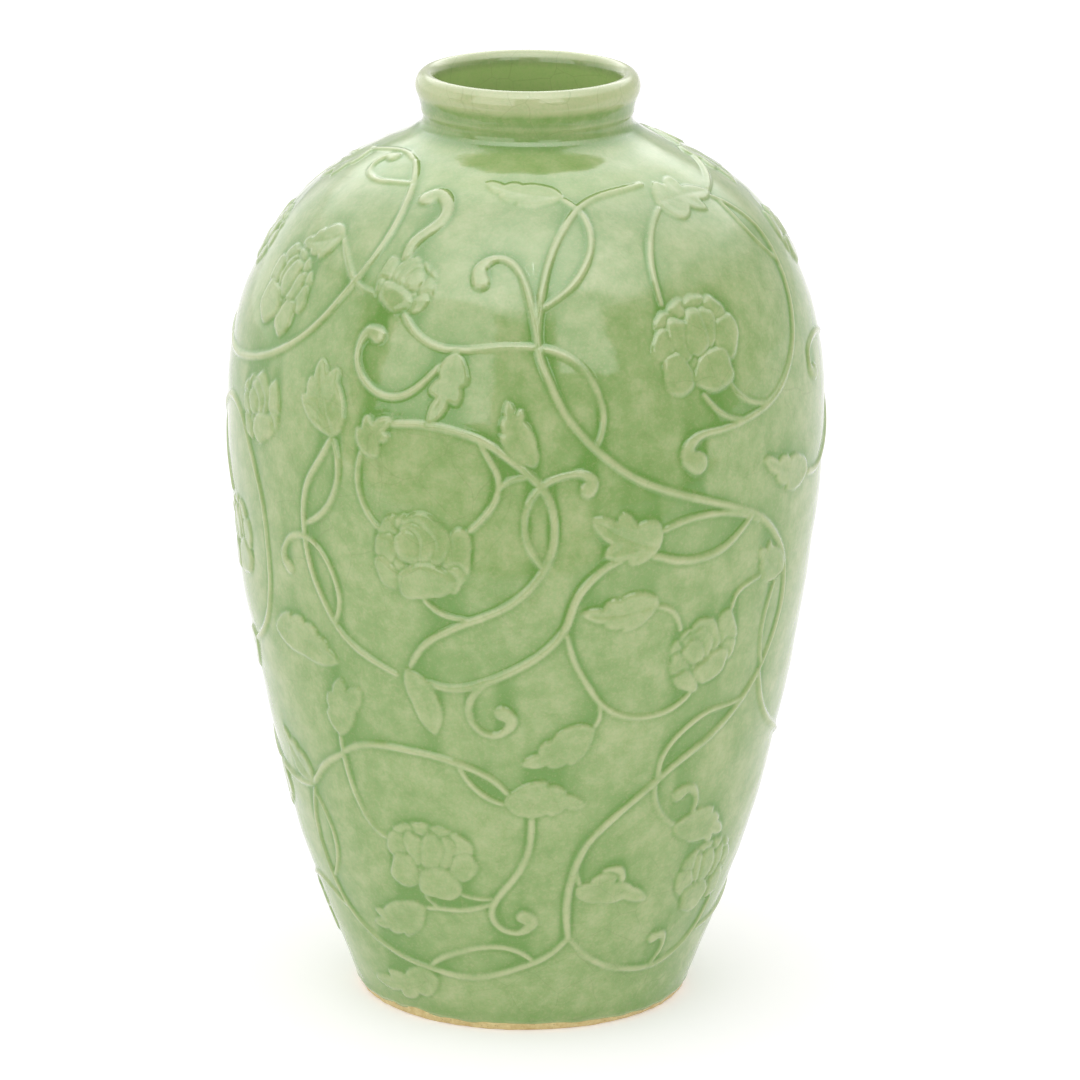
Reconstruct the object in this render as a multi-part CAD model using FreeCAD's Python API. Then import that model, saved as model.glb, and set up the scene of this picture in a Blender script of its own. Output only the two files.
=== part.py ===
"""Celadon bud vase: a turned stoneware body with a luted neck collar, sprigged vine relief and glaze coats.

All sizes are in millimetres. +Z is up, the origin is the centre of the foot's resting plane, and the
front of the vase faces -Y. A place on the wall is given by two numbers: the angle in degrees round the
vase, counted from the front towards +X, and the distance in millimetres up the wall from the foot.
Each node is written to parts/NODE.step.
"""
import FreeCAD, Part
import math
import os
from FreeCAD import Vector

# ---------------------------------------------------------------- driving dimensions
HEIGHT = 240.0            # resting plane to the top of the lip
WALL = 5.4                # clay thickness at the belly
GLAZE = 0.4               # thickness of every glaze coat
RELIEF = 1.0              # how far a sprig stands out of the clay wall
THROAT_RADIUS = 23.2      # glazed bore of the neck
LIP_RADIUS = 28.4         # widest point of the collar
FOOT_RADIUS = 41.2        # outer edge of the resting ring
FOOT_RING_WIDTH = 6.0     # resting ring, outer edge to inner edge
FOOT_RECESS = 3.0         # height of the hollow under the floor
FOOT_BEVEL = 1.3          # bare chamfer between the resting ring and the glaze
FLOOR = 7.0               # clay thickness of the floor above the recess
FLOOR_FILLET = 6.0        # how far the fillet between floor and wall reaches in
SEAM_HEIGHT = 226.6       # where the collar is luted to the shoulder
THROAT_DROP = 4.5         # how far the throat's straight bore runs below the seam
WIDEST_DROP = 4.6         # from the top of the lip down to its widest place
MOUTH_DROP = 2.6          # from the top of the lip down to the start of the throat's bore
HOLLOW_SPAN = (0.075, 0.925, 12)   # where the hollow's wall starts and ends, as shares of the wall's
                                   # length, and the number of steps between
CROWN_INSET = 2.7         # from the throat's bore out to the top of the lip
COLLAR_WAIST = 1.35       # how far the collar draws in below its widest place
PATTERN_REPEATS = 2       # the relief repeats this many times round the vase

# Glazed outline of the wall from the foot's bevel to the neck seam, as (radius, height).
OUTLINE = [(42.6, FOOT_BEVEL), (47.6, 15), (55.0, 35), (62.3, 60), (68.6, 90), (73.3, 120), (75.8, 150),
           (73.6, 175), (66.3, 195), (56.8, 208), (45.4, 216.6), (36.4, 221.2), (30.0, 224.4),
           (27.0, SEAM_HEIGHT)]

# ---------------------------------------------------------------- relief, as (degrees, mm up the wall)
STEM = 1.0                # half width of a main stem
TWIG = 0.75               # half width of a side stem

STEMS = {
    "upper_trunk": (STEM, [(41, 233.2), (30, 232.2), (21, 230.2), (15.5, 227.2), (10, 221), (6, 213.5),
                           (3.4, 204), (2.4, 196), (2.4, 189), (4.5, 181), (8, 172), (13, 164.5), (20, 157),
                           (28, 152), (36, 148.3), (44, 144.6), (51, 140.3), (55.5, 135.5), (59.5, 129.5),
                           (62, 121), (62.2, 112), (60.8, 104.5), (57.8, 97.5)]),
    "lower_trunk": (STEM, [(57.8, 97.5), (53, 91.5), (47.5, 86), (41, 81.3), (35, 77.4), (30, 73),
                           (25, 68.5), (19.5, 63), (15.2, 57.5), (12.8, 51), (11.5, 44), (11.3, 37.5),
                           (12.4, 29)]),
    "foot_left": (STEM, [(12.4, 29), (10, 25.8), (5, 22), (0, 19.7), (-7, 17.1), (-14, 15.6), (-21, 15.6),
                         (-28, 16.6), (-36, 18), (-43, 20.3), (-50, 23.7), (-56, 28.3), (-59, 34),
                         (-60.4, 42), (-60.8, 50), (-59.6, 57), (-57.3, 63.5)]),
    "foot_right": (STEM, [(12.6, 28.8), (15.5, 25.3), (20, 21.3), (26, 18), (33, 16.1), (40.5, 15.1),
                          (48, 16.2), (55, 19.6), (60, 25), (62.5, 31)]),
    "foot_join": (TWIG, [(-56, 28.5), (-61, 30.8), (-66, 33.3), (-72, 34.3), (-80, 32.5), (-90, 29.3),
                         (-100, 25.8), (-110, 23.4), (-119, 22.6)]),
    "foot_loop": (TWIG, [(3, 21.5), (-1, 24.6), (-6, 26), (-12, 25.4), (-18, 23.4), (-24, 20.7),
                         (-28, 17.8), (-31, 14.5)]),
    "belt": (STEM, [(-19.5, 102.2), (-15, 101.3), (-9.5, 102.8), (-4, 105.8), (1, 109.4), (5.3, 113.8),
                    (8.3, 119.5), (9.8, 125.5), (12.8, 131), (17, 135), (21.5, 136.8), (25.3, 135.8),
                    (29.5, 134), (35.5, 133.4), (41, 135), (45, 138.3), (48, 142)]),
    "belt_loop": (TWIG, [(25.5, 141.6), (29, 143.3), (34, 144.5), (40, 144.3), (45.5, 142.6), (50, 140)]),
    "ring": (TWIG, [(8.2, 116.5), (9.8, 109.5), (12.3, 103.6), (15.5, 97.8), (20, 93.8), (25.5, 92.5),
                    (31, 93.2), (35.3, 96), (38.3, 99.8)]),
    "ring_spur": (TWIG, [(15.3, 97.6), (15.7, 94.5), (14.5, 90.5)]),
    "arch": (STEM, [(-26, 169), (-20, 169.7), (-13.5, 168.7), (-8, 166.5), (-3.5, 162.8), (1.2, 157.8),
                    (4.2, 152.6), (5.4, 146.5), (5.3, 140.5), (3.5, 134), (0, 127.8), (-5, 123),
                    (-10.5, 119.8), (-16, 116.2), (-20.5, 111.8), (-23.2, 106.5)]),
    "arch_spur": (TWIG, [(-8.6, 166.3), (-6.6, 161.8), (-5, 157.3), (-5.3, 152.8), (-7.8, 147.2),
                         (-11.5, 142.5)]),
    "arch_drop": (TWIG, [(-20, 125.5), (-17, 122), (-13, 120.5), (-9.5, 120.3)]),
    "heart_left": (TWIG, [(-32, 161.5), (-32.8, 155.5), (-32.2, 149.5), (-29.8, 143.8), (-27, 140.3)]),
    "bridge": (TWIG, [(-27, 198), (-24.5, 193.8), (-20.5, 190), (-15, 188.4), (-8, 189.1), (-1, 189.6),
                      (4, 189), (8.3, 187), (11.8, 182.8), (14, 177), (14.6, 171), (13.2, 165)]),
    "crown_loop": (TWIG, [(9.5, 232), (12.5, 229), (15.3, 225.3), (16.4, 220.3), (15.7, 215), (13, 209),
                          (9, 203.8), (5.5, 200.8), (2.4, 198.3)]),
    "left_sweep": (STEM, [(-50, 240.6), (-45.5, 237.8), (-41.3, 233.6), (-38.3, 228.3), (-36.6, 222),
                          (-36.6, 215.5), (-38, 208.5), (-40.6, 201.5), (-44.3, 194.2), (-49, 187.5),
                          (-54.5, 182.3), (-61, 178.3), (-69, 175.6), (-78, 174.5), (-88, 176)]),
    "left_cross": (TWIG, [(-51, 213.5), (-46.5, 209), (-42.5, 204.3), (-39, 201.3), (-34, 199.8)]),
    "top_join": (TWIG, [(-50, 240.6), (-60, 242.6), (-72, 241.5), (-84, 237.5), (-95, 233), (-106, 228.6),
                        (-115, 225.5)]),
    "left_trunk": (STEM, [(-38.8, 163.5), (-41.5, 157.5), (-44.3, 152.2), (-46.3, 146.5), (-46.9, 140.5),
                          (-46.6, 133.5), (-45.3, 126), (-42.7, 118.5), (-38.8, 111.7), (-33, 107),
                          (-26.5, 103.5)]),
    "left_loop": (TWIG, [(-38.8, 163.5), (-37.5, 158), (-37.6, 152.5), (-39.3, 147), (-42.3, 142.5),
                         (-46.8, 139)]),
    "side_sweep": (STEM, [(66, 148), (73, 146.3), (80, 148.5), (88, 154), (96, 160), (104, 163.3),
                          (110.5, 160), (115, 152.5), (118, 144.5), (119.5, 136), (119.5, 127),
                          (118.5, 117), (116.5, 110), (112, 104), (105, 99.5)]),
    "side_drop": (TWIG, [(88, 154), (84.5, 148), (84, 141.5), (86, 136)]),
    "crown_stem": (TWIG, [(42, 225.5), (37, 221.8), (33, 217.2), (30.3, 211.5), (29.3, 205), (29.5, 198.5)]),
    "crown_eye": (TWIG, [(64.5, 222), (64.8, 216), (66, 210.5), (68.8, 205), (71.6, 201)]),
    "bloom_foot_a": (TWIG, [(36, 175), (38.5, 171), (42, 168), (46, 166.8)]),
    "bloom_foot_b": (TWIG, [(42.5, 177), (45, 173), (49, 170.2), (53.5, 169.3)]),
    "low_stem": (TWIG, [(-43, 83.5), (-42.9, 77), (-42.2, 70), (-40, 63), (-36.5, 58), (-33, 55.5)]),
    "low_bridge": (STEM, [(-43, 78.5), (-39, 81), (-33, 82.8), (-26, 82.7), (-19.5, 81.9), (-14, 80.2),
                          (-9, 77.9), (-5.2, 74.8), (-2.5, 71)]),
    "low_eye": (TWIG, [(-14.5, 80.3), (-12.3, 75.8), (-9.3, 72.3), (-5.5, 70), (-1.5, 69)]),
    "low_twig": (TWIG, [(-7.3, 40.3), (-11, 38.6), (-16.5, 37.2), (-22.5, 36.9), (-28, 36.3)]),
    "low_foot_a": (TWIG, [(-17, 42.6), (-12.5, 41.4), (-8, 41.3)]),
    "low_foot_b": (TWIG, [(-26.5, 42.5), (-25, 39.5), (-22, 37.2)]),
    "right_eye": (TWIG, [(30.8, 74.5), (31.2, 79.5), (33.8, 84.5), (38, 88.3), (43, 90.6), (48, 90.8),
                         (52, 91.3)]),
    "right_drop": (TWIG, [(30.6, 74), (30.6, 69.5), (32, 65.5), (35, 61.5), (39, 58.5)]),
    "spray_drop": (TWIG, [(12.9, 50), (14, 45.5), (16.5, 41.5), (20, 39)]),
    "back_join": (STEM, [(57.5, 97.5), (59.5, 91.8), (63.5, 85), (69, 80), (77, 75.5), (86, 71.5),
                         (96, 67.5), (106, 64.8), (116, 64), (123, 66), (128, 71), (132.5, 75), (137, 78)]),
    "side_eye": (TWIG, [(58, 121.5), (56.6, 116.5), (56, 111), (56.5, 105.5), (58.2, 99)]),
    "bud_stem": (TWIG, [(53, 124.8), (49, 123.8), (45.6, 121.3), (44.7, 117.5)]),
    "bud_twig": (TWIG, [(24.5, 122.3), (28.5, 121.5), (31, 118.7), (32.2, 115)]),
    "foot_eye": (TWIG, [(-57.3, 62.5), (-54.4, 57.5), (-53.1, 51), (-54.5, 44.5), (-58.7, 38.5)]),
}

# Curled tendrils: half width, path, then the radius of the round tip at the path's end.
TENDRILS = {
    "crown": (TWIG, [(2.4, 190.5), (1.4, 197.5), (0.2, 203.5), (-1.8, 208.8), (-5, 211.8), (-8.8, 211.3),
                     (-10.8, 208.3), (-10.2, 205.8)], 1.8),
    "hook": (TWIG, [(-14, 187.6), (-17.5, 183.3), (-20.5, 179.3), (-24.5, 176), (-28.5, 175.8),
                    (-32.3, 178.3), (-34.8, 183), (-34.8, 187.5), (-33, 190.6), (-31, 190)], 1.7),
    "swan": (1.3, [(-29, 209), (-29, 214), (-26.5, 218), (-23.8, 221.5), (-23.3, 225.5), (-25.5, 229),
                   (-29, 230.6), (-31.5, 228.6)], 1.9),
    "top_left": (TWIG, [(-41.5, 232.8), (-48, 231.9), (-56, 230.8), (-63, 232), (-67.5, 235.5),
                        (-66.5, 239), (-63, 239.5)], 1.6),
    "side_curl": (TWIG, [(-88, 176), (-98, 179.2), (-104.5, 179), (-108.3, 175.8), (-108, 172),
                         (-105.5, 171)], 1.7),
    "bean": (TWIG, [(62, 225), (66.5, 220.5), (70, 215), (71.9, 208.5), (71.6, 201.5), (70, 193.5),
                    (67, 185), (63, 177.8), (58, 172.3), (52, 168.6), (45, 166.5), (38, 165.5),
                    (33.2, 164.2), (31.5, 160.8), (33.8, 158.3)], 2.4),
    "arch_hook": (TWIG, [(3.6, 134.2), (1.5, 138), (0, 143), (0, 148.5), (1.5, 153.2), (4.5, 156.8),
                         (8, 158.3), (11.2, 158), (12.4, 156), (11.6, 154.3)], 1.6),
    "left_hook": (TWIG, [(-40.6, 114.5), (-38.9, 120.5), (-39.6, 126.5), (-42, 132.3), (-46, 135.6),
                         (-50.3, 135), (-53.3, 131.5), (-54, 128), (-52.6, 126)], 1.5),
    "belt_curl": (TWIG, [(-8, 103), (-10.6, 99.3), (-11.4, 95), (-10, 91), (-7, 88.9), (-3.8, 90.3),
                         (-2.6, 93.4), (-4.4, 95.3)], 1.7),
    "low_curl": (TWIG, [(1.8, 62.5), (1.4, 57), (-0.3, 51.3), (-3.5, 45.8), (-6.8, 41), (-8, 36.8),
                        (-6.5, 33), (-3, 31), (0.7, 31.8), (2.2, 34.3), (0.4, 36)], 1.8),
    "right_curl": (TWIG, [(39, 58.5), (42.6, 61.5), (43.2, 66), (40.6, 69.4), (37.4, 68.2)], 1.7),
    "spray_curl": (TWIG, [(20, 39), (24.2, 41.5), (25.2, 45.5), (23.6, 48.6), (21.3, 47.9)], 1.7),
    "foot_curl": (TWIG, [(42, 15.5), (44, 18.5), (44.7, 22), (43, 25), (40, 24.8)], 1.3),
}

# Leaves: the stalk end, the tip, the half width in mm, and the number of lobes on each side.
LEAVES = {
    "crown": ((10, 231.5), (-15, 236.5), 4.8, 2),
    "shoulder": ((41, 226), (65, 225), 6.5, 2),
    "left_shoulder": ((-50, 213), (-63, 208), 4.5, 2),
    "left_high": ((-38.8, 163.5), (-43.5, 182), 6.5, 2),
    "hanging": ((-13.5, 187.5), (-18.6, 169.8), 4.0, 0),
    "inner_left": ((-32, 161.5), (-25.5, 169.5), 3.6, 1),
    "dark": ((1.5, 160.5), (-3.5, 176.5), 3.4, 1),
    "centre": ((25.5, 137.5), (13, 147.5), 6.0, 2),
    "pale": ((26, 122.6), (12.3, 122.6), 5.0, 2),
    "drop": ((-24.2, 105.5), (-18.8, 88), 4.3, 0),
    "left_belt": ((-60, 108), (-40.8, 103.5), 5.6, 3),
    "low_left": ((-43, 83.5), (-37, 99.8), 5.6, 2),
    "mid_right": ((14.5, 90.5), (0.8, 81.3), 5.4, 2),
    "low_mid": ((-4, 70), (13.2, 68), 5.2, 2),
    "low_plain": ((-26.5, 36.6), (-46, 27.2), 4.6, 1),
    "foot": ((-27, 13.5), (-55, 8), 4.4, 2),
    "low_edge": ((-57.5, 66), (-67.5, 78), 4.6, 2),
    "spray": ((17, 40), (33.6, 39.4), 3.3, 1),
    "right_low": ((38, 59), (56.5, 52.8), 4.4, 1),
    "right_high": ((68, 147.5), (51, 155.3), 4.2, 2),
    "side": ((60.5, 123.5), (51.5, 131.8), 4.4, 1),
    "back_low": ((96, 67.5), (86, 52), 5.2, 2),
    "back_high": ((-84, 237.5), (-93, 222), 5.6, 2),
    "back_foot": ((-90, 29), (-80, 15), 5.0, 2),
    "back_belt": ((105, 100), (90, 91), 5.4, 2),
}

# Flowers: the centre, the radius in mm, and the turn of the first petal in degrees.
FLOWERS = {
    "upper_bloom": ((36.5, 186.8), 12.2, 0),
    "centre_bloom": ((-19.8, 136.2), 10.8, 15),
    "lower_bloom": ((-22.8, 51), 10.4, -10),
    "small_bloom": ((-27.6, 203.8), 6.6, 20),
    "right_bloom": ((54, 40.5), 9.8, 10),
    "bud": ((39.5, 108.5), 9.0, 30),
    "left_bloom": ((-62, 195.5), 10.2, 5),
    "left_bud": ((-61, 165), 8.6, 40),
    "back_bloom": ((88, 127), 11.0, 25),
    "back_upper_bloom": ((90, 204), 11.0, 12),
}
PETALS = (8, 5)           # petals in the outer and the inner ring
HEART = 0.24              # radius of a flower's heart, as a share of the flower's radius
RING_SPLIT = 0.6          # where the inner ring of petals ends, as a share of the flower's radius
PETAL_GAP = 0.5           # clear width between two petals
PETAL_ROUNDING = 0.13     # how far a petal's corners fall back, as a share of its outer radius
LEAF_STEPS = (10, 22)     # places along one side of a plain leaf and of a lobed leaf
LEAF_SKEW = 0.8           # below 1 a leaf is widest nearer its stalk
LEAF_FULLNESS = 0.75      # below 1 a leaf's sides are fuller
LOBE_DEPTH = 0.2          # depth of a leaf's lobes, as a share of its half width
SMALLEST = 1.5            # area in square mm below which a trimmed scrap is left out


# ---------------------------------------------------------------- the wall as a curve
def spline(points):
    """Smooth curve through (radius, height) points, in the front half plane."""
    curve = Part.BSplineCurve()
    curve.interpolate([Vector(0, -r, z) for r, z in points])
    return curve


UP = Vector(0, 0, 1)
WALL_EDGE = spline(OUTLINE).toShape()
WALL_LENGTH = WALL_EDGE.Length
STATION_COUNT = 60
MEAN_RADIUS = 60.0        # a wall surface's second parameter is the distance up divided by this, so
                          # that both of its parameters are in radians and curves on it stay even


def wall_point(distance, depth):
    """(radius, height) at a distance up the wall, sunk by depth below the glazed surface."""
    parameter = WALL_EDGE.getParameterByLength(distance)
    place = WALL_EDGE.valueAt(parameter)
    along = WALL_EDGE.tangentAt(parameter)
    return -place.y - depth * along.z, place.z - depth * along.y


def wall_curve(depth):
    """The wall's outline sunk by depth, whose parameter is the distance up over MEAN_RADIUS."""
    stations = [WALL_LENGTH * i / STATION_COUNT for i in range(STATION_COUNT + 1)]
    points = [wall_point(s, depth) for s in stations]
    curve = Part.BSplineCurve()
    curve.interpolate(Points=[Vector(0, -r, z) for r, z in points],
                      Parameters=[s / MEAN_RADIUS for s in stations])
    return curve


def wall_surface(depth):
    """The whole wall sunk by depth: the first parameter is the angle, the second the way up."""
    return Part.SurfaceOfRevolution(wall_curve(depth), Vector(0, 0, 0), UP)


# ---------------------------------------------------------------- turned pieces
def segment(start, end):
    """Straight edge between two (radius, height) points."""
    return Part.makeLine(Vector(0, -start[0], start[1]), Vector(0, -end[0], end[1]))


def bend(start, middle, end):
    """Arc through three (radius, height) points."""
    return Part.Arc(*[Vector(0, -r, z) for r, z in (start, middle, end)]).toShape()


def rounded(side, crown):
    """Middle of the quarter round between a place on the side and a place on the crown above it."""
    share = math.sin(math.radians(45))
    return (crown[0] + (side[0] - crown[0]) * share, side[1] + (crown[1] - side[1]) * share)


def turn(edges):
    """Solid turned from a closed outline of edges."""
    face = Part.Face(Part.Wire(edges))
    solid = face.revolve(Vector(0, 0, 0), UP, 360)
    return solid if solid.Volume > 0 else solid.reversed()


def inner_points(depth):
    """Outline of the hollow, from the floor's fillet to the foot of the throat, sunk by depth."""
    start, end, count = HOLLOW_SPAN
    shares = [start + (end - start) * i / count for i in range(count + 1)]
    return [wall_point(WALL_LENGTH * share, depth) for share in shares]


def hollow_edges(shrink):
    """Edges of the hollow from the axis out along the floor and up to the throat's top end.

    shrink is 0 for the clay's own surface and GLAZE for the face of the glaze on it."""
    floor_height = FOOT_RECESS + FLOOR + shrink
    side = inner_points(GLAZE + WALL + shrink)
    throat = THROAT_RADIUS + GLAZE - shrink
    corner = (side[0][0] - FLOOR_FILLET, floor_height)
    middle = (side[0][0] - FLOOR_FILLET / 4, floor_height + (side[0][1] - floor_height) / 3)
    throat_foot = (throat, SEAM_HEIGHT - THROAT_DROP)
    throat_flare = (throat + WALL * 0.3, throat_foot[1] - WALL / 2)
    side_curve = spline(side + [throat_flare, throat_foot])
    return ([segment((0, floor_height), corner), bend(corner, middle, side[0]), side_curve.toShape()],
            throat_foot)


def clay_body():
    """Wall, floor and foot ring, thrown in one piece up to the neck seam."""
    wall = wall_curve(GLAZE).toShape()
    wall_foot = wall_point(0, GLAZE)
    wall_top = wall_point(WALL_LENGTH, GLAZE)
    ring_inner = FOOT_RADIUS - FOOT_RING_WIDTH
    recess_edge = ring_inner - FOOT_BEVEL
    hollow, throat_foot = hollow_edges(0)
    throat_top = (throat_foot[0], wall_top[1])
    return turn([segment((0, FOOT_RECESS), (recess_edge, FOOT_RECESS)),
                 segment((recess_edge, FOOT_RECESS), (ring_inner, 0)),
                 segment((ring_inner, 0), (FOOT_RADIUS, 0)),
                 segment((FOOT_RADIUS, 0), wall_foot),
                 wall,
                 segment(wall_top, throat_top),
                 segment(throat_top, throat_foot),
                 *reversed(hollow),
                 segment((0, FOOT_RECESS + FLOOR), (0, FOOT_RECESS))])


def collar_edges(shrink):
    """Outside of the collar from the seam up and over the lip to the throat's top, sunk by shrink."""
    foot = wall_point(WALL_LENGTH, shrink)
    widest = (LIP_RADIUS - shrink, HEIGHT - WIDEST_DROP)
    waist = (LIP_RADIUS - COLLAR_WAIST - shrink, (SEAM_HEIGHT + widest[1]) / 2 - shrink)
    crown = (THROAT_RADIUS + CROWN_INSET, HEIGHT - shrink)
    mouth = (THROAT_RADIUS + shrink, HEIGHT - MOUTH_DROP)
    flare = spline([foot, waist, widest]).toShape()
    return [flare, bend(widest, rounded(widest, crown), crown), bend(crown, rounded(mouth, crown), mouth)
            ], foot, mouth


def neck_collar():
    """Thick rolled ring luted on top of the shoulder."""
    outside, foot, mouth = collar_edges(GLAZE)
    throat_foot = (mouth[0], foot[1])
    return turn([*outside, segment(mouth, throat_foot), segment(throat_foot, foot)])


def outer_glaze():
    """Coat on the wall and the collar, from the bare foot to the mouth's inner edge."""
    glaze_foot, clay_foot = wall_point(0, 0), wall_point(0, GLAZE)
    outside, _, mouth = collar_edges(0)
    inside, _, clay_mouth = collar_edges(GLAZE)
    return turn([wall_curve(0).toShape(), *outside, segment(mouth, clay_mouth), *reversed(inside),
                 wall_curve(GLAZE).toShape(), segment(clay_foot, glaze_foot)])


def inner_glaze():
    """Coat inside the hollow, from the floor up the wall and the throat to the mouth."""
    clay, clay_foot = hollow_edges(0)
    face, face_foot = hollow_edges(GLAZE)
    mouth = (THROAT_RADIUS, HEIGHT - MOUTH_DROP)
    clay_mouth = (THROAT_RADIUS + GLAZE, HEIGHT - MOUTH_DROP)
    floor = FOOT_RECESS + FLOOR
    return turn([*clay, segment(clay_foot, clay_mouth), segment(clay_mouth, mouth),
                 segment(mouth, face_foot), *reversed(face), segment((0, floor + GLAZE), (0, floor))])


def foot_glaze():
    """Thin disc of glaze in the hollow under the foot, clear of the resting ring."""
    edge = FOOT_RADIUS - FOOT_RING_WIDTH - 2 * FOOT_BEVEL
    return turn([segment((0, FOOT_RECESS), (edge, FOOT_RECESS)),
                 segment((edge, FOOT_RECESS), (edge - GLAZE, FOOT_RECESS - GLAZE)),
                 segment((edge - GLAZE, FOOT_RECESS - GLAZE), (0, FOOT_RECESS - GLAZE)),
                 segment((0, FOOT_RECESS - GLAZE), (0, FOOT_RECESS))])


# ---------------------------------------------------------------- sprigs on the wall
# A sprig is drawn flat first: x is the angle in radians times MEAN_RADIUS, y the distance up the wall.
BASE, TOP = wall_surface(0), wall_surface(-RELIEF)
HALF_TURN = math.pi       # a wall surface has its seam at 0, so a sprig is wrapped half a turn from it
REPEAT = 360 / PATTERN_REPEATS
JOINING = 0.0005          # how close the ends of two edges must lie to be joined
FEWEST_STEPS = 4          # least number of steps along a smoothed path
BULB_REACH = 3.0          # length over which a tendril swells into its tip, in tip radii
BULB_POWER = 1.5          # how suddenly it swells


def degree_width(distance):
    """Millimetres along the wall in one degree, at a distance up the wall."""
    return math.radians(1) * wall_point(min(max(distance, 0), WALL_LENGTH), 0)[0]


def flat_face(outline):
    """Flat face inside a smooth closed curve through (degrees, distance) places."""
    curve = Part.BSplineCurve()
    curve.interpolate(Points=[Vector(math.radians(a) * MEAN_RADIUS, s, 0) for a, s in outline],
                      PeriodicFlag=True)
    face = Part.Face(Part.Wire([curve.toShape()]))
    return face if face.normalAt(0, 0).z > 0 else face.reversed()


def wrapped_edge(edge, shift, surface):
    """A flat edge wrapped onto a wall surface and turned by shift radians."""
    curve = edge.Curve.toBSpline(*edge.ParameterRange)
    poles = [FreeCAD.Base.Vector2d(p.x / MEAN_RADIUS + shift, p.y / MEAN_RADIUS)
             for p in curve.getPoles()]
    flat = Part.Geom2d.BSplineCurve2d()
    flat.buildFromPolesMultsKnots(poles, curve.getMultiplicities(), curve.getKnots(),
                                  curve.isPeriodic(), curve.Degree)
    wrapped = flat.toShape(surface)
    wrapped.fixTolerance(JOINING)
    return wrapped


def sprig(face):
    """Solid of RELIEF thickness on the glazed wall, with the outline of a flat face."""
    shift = HALF_TURN - face.BoundBox.Center.x / MEAN_RADIUS
    outline = face.OuterWire.OrderedEdges
    low = [wrapped_edge(edge, shift, BASE) for edge in outline]
    high = [wrapped_edge(edge, shift, TOP) for edge in outline]
    sides = [side for pair in zip(low, high) for side in Part.makeRuledSurface(*pair).Faces]
    shell = Part.Shell([Part.Face(BASE, Part.Wire(low)), Part.Face(TOP, Part.Wire(high))] + sides)
    shell.sewShape()
    solid = Part.Solid(shell)
    solid = solid if solid.Volume > 0 else solid.reversed()
    return solid.rotate(Vector(0, 0, 0), UP, -math.degrees(shift))


def path_lengths(path):
    """Millimetres along the wall from the start of a path to each of its places."""
    lengths = [0.0]
    for (a0, s0), (a1, s1) in zip(path, path[1:]):
        width = degree_width((s0 + s1) / 2)
        lengths.append(lengths[-1] + math.hypot((a1 - a0) * width, s1 - s0))
    return lengths


def smooth_path(points, spacing=2.2):
    """Places at even spacing along a smooth curve through the given places, in degrees and mm."""
    parameters = path_lengths(points)
    curve = Part.BSplineCurve()
    curve.interpolate(Points=[Vector(a, s, 0) for a, s in points], Parameters=parameters)
    count = max(FEWEST_STEPS, round(parameters[-1] / spacing))
    places = [curve.value(parameters[-1] * i / count) for i in range(count + 1)]
    return [(place.x, place.y) for place in places]


def ribbon(points, half_width, tip_radius=None):
    """Outline of a strip of even width along a path, with round ends; the last may be a larger bulb."""
    path = smooth_path(points)
    tip_radius = tip_radius or half_width
    left, right = [], []
    reach = BULB_REACH * tip_radius
    lengths = path_lengths(path)
    for i, (angle, distance) in enumerate(path):
        before, after = path[max(i - 1, 0)], path[min(i + 1, len(path) - 1)]
        width = degree_width(distance)
        dx, dy = (after[0] - before[0]) * width, after[1] - before[1]
        size = math.hypot(dx, dy)
        dx, dy = dx / size, dy / size
        near = max(0.0, 1 - (lengths[-1] - lengths[i]) / reach)
        half = half_width + (tip_radius - half_width) * near ** BULB_POWER
        left.append((angle - dy * half / width, distance + dx * half))
        right.append((angle + dy * half / width, distance - dx * half))
        if i == 0:
            first_cap = (angle - dx * half / width, distance - dy * half)
        last_cap = (angle + dx * half / width, distance + dy * half)
    return [first_cap] + left + [last_cap] + right[::-1]


def leaf_outline(stalk, tip, half_width, lobes):
    """Pointed leaf with rounded lobes on both sides of a straight midrib."""
    width = degree_width((stalk[1] + tip[1]) / 2)
    dx, dy = (tip[0] - stalk[0]) * width, tip[1] - stalk[1]
    length = math.hypot(dx, dy)
    dx, dy = dx / length, dy / length
    steps = LEAF_STEPS[bool(lobes)]
    sides = {1: [], -1: []}
    for i in range(1, steps):
        share = i / steps
        half = half_width * math.sin(math.pi * share ** LEAF_SKEW) ** LEAF_FULLNESS
        wave = 1 + LOBE_DEPTH * math.cos(2 * math.pi * (lobes + 0.5) * share) if lobes else 1
        for side, row in sides.items():
            row.append((share * length, side * half * wave))
    corners = [(0, 0)] + sides[1] + [(length, 0)] + sides[-1][::-1]
    return [(stalk[0] + (x * dx - y * dy) / width, stalk[1] + x * dy + y * dx) for x, y in corners]


def petal_outline(centre, start, end, inner, outer):
    """Round-ended sector of a flower between two angles in radians and two radii in mm."""
    width = degree_width(centre[1])
    middle, half = (start + end) / 2, (end - start) / 2
    corners = []
    for share in (-1.0, -0.85, -0.5, 0.0, 0.5, 0.85, 1.0):
        radius = outer * (1 - PETAL_ROUNDING * share ** 2)
        gap = PETAL_GAP / 2 / radius
        corners.append((radius, middle + share * (half - gap)))
    for share in (1.0, 0.0, -1.0):
        gap = PETAL_GAP / 2 / inner
        corners.append((inner, middle + share * (half - gap)))
    return [(centre[0] + r * math.cos(a) / width, centre[1] + r * math.sin(a)) for r, a in corners]


def disc_outline(centre, radius, count=12):
    """Round outline through an even count of places."""
    width = degree_width(centre[1])
    turns = [2 * math.pi * i / count for i in range(count)]
    return [(centre[0] + radius * math.cos(a) / width, centre[1] + radius * math.sin(a)) for a in turns]


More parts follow.
